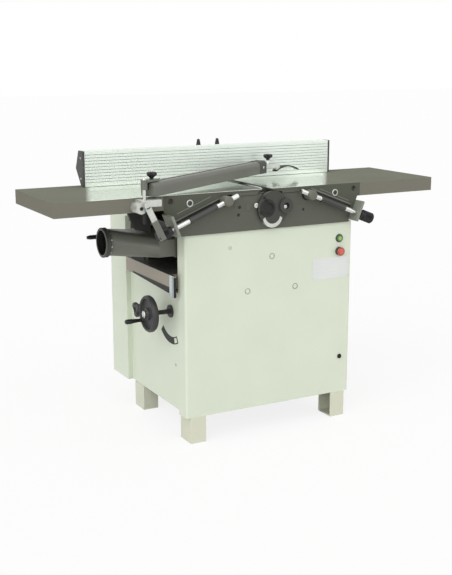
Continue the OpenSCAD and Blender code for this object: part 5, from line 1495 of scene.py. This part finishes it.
@dataclass
class BridgeGuard:
    """Knobs, post, release lever and end cap of the bridge guard.

    Attributes:
        head_foot: foot of the head's star knob.
        holder_foot: foot of the holder's stem.
        holder_up: axis of the holder's knob.
        holder_rise: height of the holder's knob over that foot.
        star: radius, height and lobes of a star knob.
        stud: radius, thread pitch and thread depth of the studs.
        head_stud: lowest and highest end of the head's stud, from its knob's foot.
        holder_stud: the same for the holder's stud.
        post: X, Y, foot Z, Z of the top of its lower end, which is painted dark as shade under the clamp, top
            Z and radius of the post.
        pivot: pivot of the release lever, in the middle of its thickness.
        lever_way: direction of the release lever.
        lever_side: direction across the release lever.
        shank: width, thickness, start and end of its bright shank.
        grip: width, thickness, start and end of its dark grip.
        beam: foot of the beam's axis and its direction.
        beam_side: direction across the beam.
        cap: half width, height, corner radius, start and end of the beam's end cap.
        cap_screw: radius and height of the end cap's screw.
        eye: middle and radius of the clamp's bore, drawn as a dark plug of painted shade.
    """

    head_foot: Vec = (-0.44964, -0.25222, 0.9075)
    holder_foot: Vec = (0.13232, 0.02091, 0.89797)
    holder_up: Vec = (-0.0251, -0.01224, 0.99961)
    holder_rise: float = 0.016
    star: tuple[float, float, int] = (0.0172, 0.022, 5)
    stud: Trio = (0.004, 0.0015, 0.1)
    head_stud: Pair = (-0.0275, 0.027)
    holder_stud: Pair = (-0.006, 0.018)
    post: Six = (-0.482, -0.268, 0.770, 0.824, 0.912, 0.006)
    pivot: Vec = (-0.487, -0.3005, 0.830)
    lever_way: Vec = (0.438371, 0.0, -0.898794)
    lever_side: Vec = (0.898794, 0.0, 0.438371)
    shank: Four = (0.02, 0.007, 0.004, 0.06)
    grip: Four = (0.02, 0.013, 0.054, 0.121)
    beam: tuple[Vec, Vec] = ((-0.482, -0.268, 0.854), (0.898444, 0.4382, 0.027922))
    beam_side: Vec = (-0.438371, 0.898794, 0.0)
    cap: Five = (0.0278, 0.0438, 0.0158, 0.604, 0.6436)
    cap_screw: Pair = (0.0045, 0.0016)
    eye: tuple[Vec, float] = ((-0.501, -0.2880, 0.821), 0.0059)

    def build(self, dresser: Dresser) -> None:
        """Builds the knobs with their studs, the post, the release lever and the beam's end cap.

        Args:
            dresser: finishes the pieces and sets them on their bodies.
        """
        dresser.add(self._star("guard_star", self.head_foot, Axis.Z), KNOB, "guard_knob", "guard_knob")
        dresser.add(self._stud("guard_stud", self.head_foot, Axis.Z, self.head_stud), BRIGHT, "guard_knob")
        head = tuple(np.asarray(self.holder_foot) + self.holder_rise * np.asarray(self.holder_up))
        dresser.add(self._star("holder_star", head, self.holder_up), KNOB, "holder_knob", "holder_knob")
        stud = self._stud("holder_stud", self.holder_foot, self.holder_up, self.holder_stud)
        dresser.add(stud, BRIGHT, "holder_knob")
        _, _, foot, joint, top, _ = self.post
        dresser.add(self._post("post_upper", joint, top, 0.002), BRIGHT, "guard_post", "guard_post")
        # The post's lower end is painted dark, as painted shade under the clamp.
        dresser.add(self._post("post_foot_shade", foot, joint, 0.0008), PRINT_AND_SHADE_BLACK, "guard_post")
        dresser.add(self._bar("release_shank", self.shank), ALLOY, "release_lever", "release_lever")
        dresser.add(self._bar("release_grip", self.grip), BEAM, "release_lever")
        dresser.add(self._release_hub(), ALLOY, "release_lever")
        dresser.add(self._release_pin(), KNOB, "release_lever")
        dresser.add(self._beam_cap(), CAP, "guard_beam")
        dresser.add(self._cap_screw(), BRIGHT, "guard_beam")
        # The dark plug in the clamp's bore is painted shade.
        dresser.add(self._bore_shade(), PRINT_AND_SHADE_BLACK, "guard_clamp")

    def _bore_shade(self) -> Piece:
        """Turns the clamp's bore as painted shade: a dark plug with a sunk face.

        Returns:
            The new object.
        """
        at, r = self.eye
        shape = [(0.0, -0.008), (r, -0.008), (r, 0.0), (0.6 * r, -0.001), (0.0, -0.002)]
        return lathe("clamp_bore_shade", shape, 0.0006, at, Axis.FRONT, 32)

    def _star(self, name: str, at: Vec, up: Vec) -> Piece:
        """Turns a star knob: a narrow foot under a fluted body with a domed top.

        Args:
            name: object name.
            at: foot of its axis.
            up: direction of its axis.

        Returns:
            The new object.
        """
        r, h, lobes = self.star
        shape = [(0.0, 0.0), (0.36 * r, 0.0), (0.42 * r, 0.2 * h), (0.9 * r, 0.46 * h), (r, 0.58 * h),
                 (r, 0.78 * h), (0.8 * r, 0.94 * h), (0.3 * r, h), (0.0, h)]
        profile = densify(rounded(shape, 0.002), 0.002)
        sides, depth = 20 * lobes, 0.3
        cut = flutes(profile, sides, lobes, depth, (0.3 * h, 0.93 * h))
        return revolve(name, profile, at, up, sides, cut)

    def _stud(self, name: str, at: Vec, up: Vec, span: Pair) -> Piece:
        """Turns a threaded stud with chamfered ends.

        Args:
            name: object name.
            at: foot of its axis.
            up: direction of its axis.
            span: lowest and highest end along its axis.

        Returns:
            The new object.
        """
        low, high = span
        r, pitch, depth = self.stud
        profile = densify(rounded(pin(r, low, high), 0.001), 0.0003)
        sides, chamfer = 24, 0.002
        thread = helix(profile, sides, pitch, depth, (low + chamfer, high - chamfer))
        return revolve(name, profile, at, up, sides, thread)

    def _post(self, name: str, low: float, high: float, edge: float) -> Piece:
        """Turns a stretch of the post, with its ends rounded by the edge."""
        x, y, *_, r = self.post
        return lathe(name, pin(r, low, high), edge, (x, y, 0.0), Axis.Z, 32)

    def _bar(self, name: str, sizes: Four) -> Piece:
        """Carries a round-cornered outline down the release lever, from a start to an end.

        Args:
            name: object name.
            sizes: width, thickness, start and end along the lever.

        Returns:
            The new object.
        """
        width, thick, low, high = sizes
        s = np.array([low, low + 0.002, low + 0.004, high - 0.006, high - 0.002, high])
        path = np.asarray(self.pivot) + s[:, None] * np.asarray(self.lever_way)
        return sweep(name, path, round_plate(width, thick, 0.003), self.lever_side)

    def _release_hub(self) -> Piece:
        """Turns the lever's round end with the pin that holds it in the clamp.

        Returns:
            The new object.
        """
        r, half = 0.5 * self.shank[0], 0.5 * self.shank[1]
        inner, reach, sunk = 0.006, -0.021, half - 0.0015
        shape = [(0.0, reach), (inner, reach), (inner, -half), (r, -half), (r, half), (0.55 * r, half),
                 (0.5 * r, sunk), (0.0, sunk)]
        return lathe("release_hub", shape, 0.0008, self.pivot, Axis.FRONT)

    def _release_pin(self) -> Piece:
        """Turns the small stop pin at the foot of the lever.

        Returns:
            The new object.
        """
        at = np.asarray(self.pivot) + 0.111 * np.asarray(self.lever_way) - 0.004 * np.asarray(self.lever_side)
        shape = [(0.0, -0.0095), (0.0065, -0.0095), (0.0065, 0.0052), (0.0052, 0.0064), (0.003, 0.0064),
                 (0.0024, 0.0056), (0.0, 0.0056)]
        return lathe("release_pin", shape, 0.0008, tuple(at), Axis.FRONT, 32)

    def _beam_cap(self) -> Piece:
        """Carries the beam's arched outline along its end, drawn in a little at both ends.

        Returns:
            The new object.
        """
        half, height, corner, low, high = self.cap
        arch = rounded([(-half, 0.0), (-half, height), (half, height), (half, 0.0)], corner, 10)
        foot, way = self.beam
        path = np.asarray(foot) + np.array([[low], [high]]) * np.asarray(way)
        return sweep("beam_cap", path, arch, self.beam_side)

    def _cap_screw(self) -> Piece:
        """Sets the slotted screw in the front of the beam's end cap.

        Returns:
            The new object.
        """
        half, height, _, low, high = self.cap
        foot, way = self.beam
        side = np.asarray(self.beam_side)
        at = np.asarray(foot) + 0.5 * (low + high) * np.asarray(way) - half * side
        at = at + 0.5 * height * np.asarray(Axis.Z)
        return slot_head("beam_cap_screw", tuple(at), tuple(-side), *self.cap_screw)


@dataclass
class ChipHood:
    """Duct, collar, rivets and pull bar of the chip hood.

    Attributes:
        box: lowest and highest Y and Z of the square end of the duct.
        reach: X of the mouth, of the end of its round neck, of the square's start and of its end.
        neck: outer radius of the round neck.
        wall: thickness of the duct.
        mouth: foot of the collar on the spout axis.
        bore: inner radius of the collar.
        collar: outer radius and width.
        rivets: rivets round the collar.
        rivet_ring: distance of the rivets behind the collar's foot, their ring's radius and first angle.
        inner_shade: thickness of the dark skin inside the duct, painted shade, and X where it ends.
        bar: foot, length and radius of the pull bar.
    """

    box: Four = (-0.164, 0.098, 0.637, 0.693)
    reach: Four = (-0.531, -0.508, -0.386, -0.070)
    neck: float = 0.045
    wall: float = 0.003
    mouth: Vec = (-0.514, -0.022, 0.676)
    bore: float = 0.0448
    collar: Pair = (0.050, 0.017)
    rivets: int = 12
    rivet_ring: Trio = (0.0032, 0.0448, 0.2)
    inner_shade: Pair = (0.0006, -0.3)
    bar: tuple[Vec, float, float] = ((-0.394, 0.082, 0.678), 0.148, 0.008)

    def build(self, dresser: Dresser) -> None:
        """Builds the duct with a dark inner skin of painted shade, the collar, its rivets and the bar.

        Args:
            dresser: finishes the pieces and sets them on their bodies.
        """
        dresser.add(self._duct("hood_duct", 0.0, self.wall, self.reach), HOOD, "hood", "hood")
        start, neck, square, _ = self.reach
        thick, end = self.inner_shade
        inside = (start + 0.0005, neck, square, end)
        # The dark inner skin is painted shade inside the duct.
        dresser.add(self._duct("hood_inner_shade", self.wall - 0.0002, thick, inside), PRINT_AND_SHADE_BLACK, "hood")
        dresser.add(self._collar(), CAP, "hood_trim", "hood_trim")
        dresser.add(self._rivets(), BRIGHT, "hood")
        dresser.add(self._bar(), KNOB, "hood_trim")

    def _collar(self) -> Piece:
        """Turns the collar: a band with a rolled lip at the mouth and a bead at the root.

        Returns:
            The new object.
        """
        r, width = self.collar
        b = self.bore
        low = r - 0.002
        shape = [(b, 0.0), (r - 0.0015, 0.0), (r, 0.002), (r, 0.004), (low, 0.005), (low, width - 0.006),
                 (r, width - 0.005), (r, width - 0.001), (low, width), (b, width), (b, 0.0)]
        return lathe("spout_collar", shape, 0.001, self.mouth, Axis.LEFT, 96)

    def _duct(self, name: str, inset: float, thick: float, reach: Four) -> Piece:
        """Makes a tube that goes from round to square.

        Each quarter of the circle runs straight to one corner of the square, so four cone pieces lie between
        four flat triangles; the same loops, drawn in by the thickness, run back inside and close the tube.

        Args:
            name: object name.
            inset: distance of the outer skin inside the duct's outside.
            thick: thickness of the tube.
            reach: X of the mouth, of the end of the round neck, of the square's start and of its end.

        Returns:
            The new object.
        """
        points = 17
        t = (np.array([180.0, 90.0, 0.0, -90.0])[:, None] - np.linspace(0.0, 90.0, points)).ravel()
        ring = np.stack([np.cos(np.radians(t)), np.sin(np.radians(t))], 1)
        corner = np.repeat([(-1.0, 1.0), (1.0, 1.0), (1.0, -1.0), (-1.0, -1.0)], points, axis=0)
        front, back, low, high = self.box
        middle = 0.5 * np.array([front + back, low + high])
        half = 0.5 * np.array([back - front, high - low])
        skins = []
        for depth in (inset, inset + thick):
            circle = np.array(self.mouth[1:]) + (self.neck - depth) * ring
            square = middle + (half - depth) * corner
            outlines = (circle, circle, square, square)
            skins.append([np.insert(loop, 0, x, axis=1) for x, loop in zip(reach, outlines)])
        loops = np.stack([*skins[0], *skins[1][::-1], skins[0][0]])
        return grid_object(name, loops, grid_faces(*loops.shape[:2]), crease=20.0)

    def _rivets(self) -> Piece:
        """Sets domed rivets evenly round the spout, just behind the collar.

        Returns:
            The new object.
        """
        behind, radius, first = self.rivet_ring
        t = angles(self.rivets) + first
        out = np.stack([np.zeros_like(t), np.cos(t), np.sin(t)], 1)
        centres = np.asarray(self.mouth) + behind * np.asarray(Axis.X) + radius * out
        dome = rounded([(0.0, -0.0005), (0.0026, -0.0005), (0.0026, 0.0004), (0.0, 0.0014)], 0.0005, 2)
        return copies("spout_rivets", dome, centres, out, 12)

    def _bar(self) -> Piece:
        """Turns the pull bar with a ringed grip and a round end.

        Returns:
            The new object.
        """
        foot, length, r = self.bar
        root = 0.8 * r
        rings = [(r - 0.0008 * (i % 2), length - 0.062 + 0.004 * i) for i in range(14)]
        shape = [(0.0, 0.0), (root, 0.0), (root, length - 0.066), *rings, (0.7 * r, length), (0.0, length)]
        return lathe("pull_bar", shape, 0.0012, foot, Axis.LEFT)


@dataclass
class FrontPanelFittings:
    """Push buttons, plugs, screws, grommet and blank plate of the sheet metal stand.

    Attributes:
        face_y: front face of the panel.
        button_x: X of both buttons.
        start_z: Z of the start button.
        stop_z: Z of the stop button.
        start_r: radius of the start button.
        stop_r: radius of the stop button.
        lens: radius of the pale inserts as a share of their buttons', and height of their feet, start then
            stop; their paleness is partly a painted highlight on the domed tops.
        plugs: X, Z and radius of the panel plugs.
        grommet: X and Z of the cable grommet.
        plate: middle X and Z, width and height of the blank plate.
        door: half distance of the door screws in X, their two heights, and Y of the door's face.
        side_screw: place of the screw on the left panel.
        screw: radius and height of the screw heads.
    """

    face_y: float = -0.232
    button_x: float = 0.274
    start_z: float = 0.657
    stop_z: float = 0.611
    start_r: float = 0.011
    stop_r: float = 0.015
    lens: Trio = (0.66, 0.0071, 0.0188)
    plugs: tuple[Vec, ...] = ((0.001, 0.618, 0.0105), (-0.0935, 0.506, 0.0105), (0.095, 0.504, 0.0105),
                              (-0.161, 0.660, 0.0055))
    grommet: Pair = (0.287, 0.225)
    plate: Four = (0.240, 0.554, 0.150, 0.074)
    door: tuple[float, Pair, float] = (0.313, (0.106, 0.700), 0.3985)
    side_screw: Vec = (-0.308, -0.116, 0.247)
    screw: Pair = (0.005, 0.0025)

    def build(self, dresser: Dresser) -> None:
        """Builds the buttons, the plugs and the small fittings.

        Args:
            dresser: finishes the pieces and sets them on their bodies.
        """
        start = (self.button_x, self.face_y, self.start_z)
        stop = (self.button_x, self.face_y, self.stop_z)
        bezel = self._bezel("start_bezel", start, self.start_r + 0.0005, self.start_r + 0.0035)
        dresser.add(bezel, CAP, "button_bezels", "button_bezels")
        dresser.add(self._bezel("stop_bezel", stop, 0.0075, self.stop_r), CAP, "button_bezels")
        share, start_foot, stop_foot = self.lens
        dresser.add(self._start(start), GREEN, "start_button", "start_button")
        # The pale insert is partly a painted highlight on the button's top.
        lens = self._insert_highlight("start_insert_highlight", start, share * self.start_r, start_foot)
        dresser.add(lens, GREEN_INSERT_AND_HIGHLIGHT, "start_button")
        dresser.add(self._stop(stop), RED, "stop_button", "stop_button")
        lens = self._insert_highlight("stop_insert_highlight", stop, share * self.stop_r, stop_foot)
        dresser.add(lens, RED_INSERT_AND_HIGHLIGHT, "stop_button")
        for i, plug in enumerate(self.plugs):
            replaced = ("panel_fittings",) if i == 0 else ()
            dresser.add(self._plug(f"panel_plug_{i + 1}", *plug), CABINET, "panel_fittings", *replaced)
            dresser.add(self._plug_ring(f"panel_plug_ring_{i + 1}", *plug), STEEL, "panel_fittings")
        dresser.add(self._grommet(), RUBBER, "front_panel")
        self._plate(dresser)
        dresser.add(slot_head("side_screw", self.side_screw, Axis.LEFT, *self.screw), BRIGHT, "left_panel")
        half, rows, y = self.door
        for i, (side, z) in enumerate((s, z) for s in (-1.0, 1.0) for z in rows):
            head = slot_head(f"door_screw_{i + 1}", (side * half, y, z), Axis.Y, *self.screw)
            dresser.add(head, BRIGHT, "rear_door")

    def _bezel(self, name: str, at: Vec, inner: float, outer: float) -> Piece:
        """Turns a ring with a sloped outside and a rolled lip."""
        shape = [(inner, -0.001), (outer, -0.001), (outer, 0.0025), (outer - 0.0012, 0.005), (inner, 0.005),
                 (inner, -0.001)]
        return lathe(name, shape, 0.0008, at, Axis.FRONT, 64)

    def _start(self, at: Vec) -> Piece:
        """Turns the start button: a cap with a rim and a shallow dish, as a profile of radius and height.

        Args:
            at: foot of its axis.

        Returns:
            The new object.
        """
        r = self.start_r
        shape = [(0.0, -0.004), (r, -0.004), (r, 0.0068), (0.86 * r, 0.008), (0.7 * r, 0.008),
                 (0.55 * r, 0.0074), (0.0, 0.0072)]
        return lathe("start_cap", shape, 0.0012, at, Axis.FRONT, 64)

    def _stop(self, at: Vec) -> Piece:
        """Turns the stop button: a stem under a domed mushroom head.

        Args:
            at: foot of its axis.

        Returns:
            The new object.
        """
        r = self.stop_r
        shape = [(0.0, -0.004), (0.007, -0.004), (0.007, 0.0102), (0.86 * r, 0.0102), (r, 0.0125),
                 (r, 0.0155), (0.82 * r, 0.0188), (0.4 * r, 0.0198), (0.0, 0.02)]
        return lathe("stop_head", shape, 0.002, at, Axis.FRONT, 64)

    def _insert_highlight(self, name: str, at: Vec, r: float, foot: float) -> Piece:
        """Turns the paler domed insert in the face of a button, from a foot height up; its paleness is partly
        a painted highlight.
        """
        shape = [(0.0, foot), (r, foot), (r, foot + 0.0006), (0.8 * r, foot + 0.0011), (0.0, foot + 0.0012)]
        return lathe(name, shape, 0.0005, at, Axis.FRONT)

    def _plug(self, name: str, x: float, z: float, size: float) -> Piece:
        """Turns a plug: a low dome inside its ring.

        Args:
            name: object name.
            x: X of its middle.
            z: Z of its middle.
            size: radius of its ring.

        Returns:
            The new object.
        """
        r = 0.72 * size
        shape = [(0.0, -0.0008), (r, -0.0008), (r, 0.0006), (0.7 * r, 0.0012), (0.0, 0.0014)]
        return lathe(name, shape, 0.0005, (x, self.face_y, z), Axis.FRONT)

    def _plug_ring(self, name: str, x: float, z: float, r: float) -> Piece:
        """Turns the narrow pressed ring round a plug."""
        shape = [(0.74 * r, -0.0005), (r, -0.0005), (r, 0.0008), (0.87 * r, 0.0015), (0.76 * r, 0.0009),
                 (0.74 * r, -0.0005)]
        return lathe(name, shape, 0.0003, (x, self.face_y, z), Axis.FRONT)

    def _grommet(self) -> Piece:
        """Turns the grommet, a rounded rubber ring with a dished middle.

        Returns:
            The new object.
        """
        x, z = self.grommet
        shape = [(0.0, -0.0005), (0.0085, -0.0005), (0.0085, 0.002), (0.007, 0.004), (0.005, 0.0036),
                 (0.004, 0.001), (0.0, 0.0006)]
        return lathe("grommet", shape, 0.0012, (x, self.face_y, z), Axis.FRONT)

    def _plate(self, dresser: Dresser) -> None:
        """Lays a blank plate with a rivet in each corner.

        Args:
            dresser: finishes the pieces and sets them on their bodies.
        """
        x, z, width, height = self.plate
        face, inset = self.face_y - 0.0008, 0.006
        outline = round_plate(width, height, 0.004)
        plate = slab("blank_plate", outline, (x, face, z), Axis.LEFT, Axis.Z, 0.001)
        dresser.add(plate, PLATE, "front_panel")
        side = np.array([-1.0, 1.0])
        dx, dz = np.meshgrid(side * (0.5 * width - inset), side * (0.5 * height - inset))
        centres = np.stack([x + dx.ravel(), np.full(4, face), z + dz.ravel()], 1)
        dome = rounded([(0.0, -0.0005), (0.0022, -0.0005), (0.0022, 0.0003), (0.0, 0.001)], 0.0004, 2)
        rivets = copies("blank_plate_rivets", dome, centres, np.tile(Axis.FRONT, (4, 1)), 16)
        dresser.add(rivets, BRIGHT, "front_panel")


@dataclass
class BedFittings:
    """Screws and plugs on the bed's front cheek, the bearing cover and the table edges.

    Attributes:
        cheek_y: front of the bed's cheek.
        table_y: front of the tables.
        edge_screws: X, Z and node of the ringed screws in the table edges.
        edge_head: radius and height of those screws' heads.
        hole_shades: X, Z and radius of the holes in the cheek, drawn as dark plugs of painted shade.
        bolt: X, Z, radius and height of the bolt left of the cover.
        journals: X, Z and radius of the caps over the shaft ends in the cheek.
        cover_y: front of the bearing cover.
        cover_bolts: X and Z of the cover's bolts.
        cover_head: radius and height of those bolts' heads.
        dish: X, Z, radius and depth of the cover's dish.
        ring_shadow: outer radius of the painted shadow round the dish, the share it grows to one side, and
            that angle.
        rib: X and Z of the corners of the rib under the outfeed table, painted near black as shade under the
            table, and its first Y and thickness.
        lips: node, first and last X of the lips under the tables' front edges.
        lip: first and last Y and lowest and highest Z of the lips.
        hub: X, Z and radius of the hole in the cover's hub.
        shaft_end: shift in X and Z from that hole, radius and height of the bright shaft end in it.
        crescent: X, Z, outer and inner radius and thickness of the bright crescent.
        crescent_span: first and last angle of the crescent, in degrees.
    """

    cheek_y: float = -0.240
    table_y: float = -0.242
    edge_screws: tuple[tuple[float, float, str], ...] = ((-0.3128, 0.820, "outfeed_table"),
                                                         (0.2454, 0.820, "infeed_table"))
    edge_head: Pair = (0.0078, 0.0014)
    hole_shades: tuple[Trio, ...] = ((-0.130, 0.794, 0.0056), (-0.134, 0.769, 0.0056), (0.118, 0.770, 0.0046))
    bolt: Four = (-0.070, 0.797, 0.0085, 0.008)
    journals: tuple[Trio, ...] = ((-0.096, 0.790, 0.0118), (-0.146, 0.800, 0.0075))
    cover_y: float = -0.252
    cover_bolts: tuple[Pair, ...] = ((-0.043, 0.821), (-0.054, 0.772), (-0.033, 0.811))
    cover_head: Pair = (0.0046, 0.004)
    dish: Four = (-0.025, 0.784, 0.0197, 0.006)
    ring_shadow: Trio = (0.025, 0.4, 160.0)
    rib: tuple[tuple[Pair, ...], float, float] = (
        ((-0.474, 0.838), (-0.468, 0.778), (-0.442, 0.724), (-0.390, 0.712), (-0.384, 0.838)), -0.094, 0.012)
    lips: tuple[tuple[str, float, float], ...] = (("outfeed_table", -0.158, -0.063),
                                                  ("infeed_table", 0.031, 0.102))
    lip: Four = (-0.2418, -0.2404, 0.8325, 0.8415)
    hub: Trio = (0.040, 0.790, 0.0109)
    shaft_end: Four = (-0.0035, -0.003, 0.0062, 0.005)
    crescent: Five = (-0.0105, 0.7578, 0.038, 0.0295, 0.0135)
    crescent_span: Pair = (-168.0, -12.0)

    def build(self, dresser: Dresser) -> None:
        """Builds the edge screws, the painted shade in the holes, the caps, the cover's fittings and the
        crescent.

        Args:
            dresser: finishes the pieces and sets them on their bodies.
        """
        for x, z, node in self.edge_screws:
            at = (x, self.table_y, z)
            dresser.add(self._ring(f"{node}_screw_ring", at), ALLOY, node)
            dresser.add(slot_head(f"{node}_screw", at, Axis.FRONT, *self.edge_head), SLEEVE, node)
        for i, (x, z, r) in enumerate(self.hole_shades):
            # Dark plugs are painted shade for the holes in the cheek.
            dresser.add(self._hole_shade(f"cheek_hole_shade_{i + 1}", (x, self.cheek_y, z), r), PRINT_AND_SHADE_BLACK, "bed")
        x, z, *head = self.bolt
        dresser.add(socket_screw("cheek_bolt", (x, self.cheek_y, z), Axis.FRONT, *head), BRIGHT, "bed")
        for i, (x, z, r) in enumerate(self.journals):
            dresser.add(self._journal_cap(f"journal_cap_{i + 1}", (x, self.cheek_y, z), r), CASTING, "bed")
        dresser.add(self._crescent(), ALLOY, "cover_fittings", "cover_fittings")
        for i, (x, z) in enumerate(self.cover_bolts):
            at = (x, self.cover_y, z)
            bolt = socket_screw(f"cover_bolt_{i + 1}", at, Axis.FRONT, *self.cover_head)
            dresser.add(bolt, PRINT_AND_SHADE_BLACK, "cover_fittings")
        # The dish's dark lining is painted shade in the recess. The ring round it, wider to one side, is a
        # painted shadow.
        dresser.add(self._recess_shade(), PRINT_AND_SHADE_BLACK, "bearing_cover")
        dresser.add(self._ring_shadow(), PRINT_AND_SHADE_BLACK, "bearing_cover")
        # The rib is painted near black as shade under the outfeed table.
        corners, y, thick = self.rib
        rib = slab("outfeed_shaded_rib", corners, (0.0, y, 0.0), Axis.X, Axis.Z, thick)
        dresser.add(rib, INNER, "outfeed_table")
        y, back, low, high = self.lip
        for node, first, last in self.lips:
            outline = rectangle(first, last, low, high)
            lip = slab(f"{node}_lip", outline, (0.0, y, 0.0), Axis.X, Axis.Z, back - y)
            dresser.add(lip, CASTING, node)
        x, z, r = self.hub
        # The dark plug in the hub's hole is painted shade.
        dresser.add(self._hole_shade("hub_hole_shade", (x, self.cover_y, z), r), PRINT_AND_SHADE_BLACK, "bearing_cover")
        dx, dz, *head = self.shaft_end
        shaft = socket_screw("hub_shaft_end", (x + dx, self.cover_y, z + dz), Axis.FRONT, *head)
        dresser.add(shaft, BRIGHT, "bearing_cover")

    def _ring_shadow(self) -> Piece:
        """Turns a painted shadow round the dish: a thin dark ring whose outer radius grows by a cosine to one
        side.

        Returns:
            The new object.
        """
        x, z, r, _ = self.dish
        outer, growth, side = self.ring_shadow
        sides = 64
        profile = np.array([(r, -0.001), (outer, -0.001), (outer, 0.0003), (r, 0.0003), (r, -0.001)])
        swell = 1.0 + 0.5 * growth * (1.0 + np.cos(angles(sides) - np.radians(side)))
        factor = np.where(profile[:, :1] > r, swell, 1.0)
        return revolve("cover_ring_shadow", profile, (x, self.cover_y, z), Axis.FRONT, sides, factor)

    def _ring(self, name: str, at: Vec) -> Piece:
        """Turns the bright ring round an edge screw."""
        shape = [(0.0079, -0.001), (0.0118, -0.001), (0.0118, 0.0012), (0.0106, 0.0022), (0.0084, 0.002),
                 (0.0079, -0.001)]
        return lathe(name, shape, 0.0005, at, Axis.FRONT)

    def _hole_shade(self, name: str, at: Vec, r: float) -> Piece:
        """Turns a dark plug with a low rim and a sunk middle, painted shade for a hole."""
        shape = [(0.0, -0.001), (r, -0.001), (r, 0.0004), (0.9 * r, 0.0007), (0.75 * r, 0.0004),
                 (0.6 * r, 0.0001), (0.0, 0.0001)]
        return lathe(name, shape, 0.0002, at, Axis.FRONT, 32)

    def _journal_cap(self, name: str, at: Vec, r: float) -> Piece:
        """Turns the low painted cap over a shaft end."""
        shape = [(0.0, -0.001), (r, -0.001), (r, 0.0007), (0.86 * r, 0.0014), (0.0, 0.0016)]
        return lathe(name, shape, 0.0006, at, Axis.FRONT)

    def _recess_shade(self) -> Piece:
        """Turns the dark lining of the cover's dish, painted shade in the recess: a floor with a sloped wall.

        Returns:
            The new object.
        """
        x, z, r, depth = self.dish
        shape = [(0.0, -depth), (r, -depth), (r, -0.0004), (0.94 * r, -0.0008), (0.82 * r, 0.0006 - depth),
                 (0.0, 0.0004 - depth)]
        return lathe("cover_recess_shade", shape, 0.0008, (x, self.cover_y, z), Axis.FRONT, 64)

    def _crescent(self) -> Piece:
        """Lays the crescent: lower arcs of two circles, the inner one raised by half their difference.

        Returns:
            The new object.
        """
        x, z, outer, inner, thick = self.crescent
        outline = band(inner, outer, self.crescent_span, 49, lift=0.5 * (outer - inner))
        return slab("cover_crescent", outline, (x, self.cheek_y, z), Axis.X, Axis.Z, thick)


def main() -> None:
    """Builds the scene in order."""
    logging.basicConfig(level=logging.INFO, format="%(message)s")
    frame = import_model()
    dresser = Dresser(frame)
    Studio().build()
    dresser.dress_solids()
    for assembly in (HeightScrews(), LiftControls(), FenceSet(), BridgeGuard(), ChipHood(),
                     FrontPanelFittings(), BedFittings()):
        LOG.info("building %s", type(assembly).__name__)
        assembly.build(dresser)


if __name__ == "__main__":
    main()
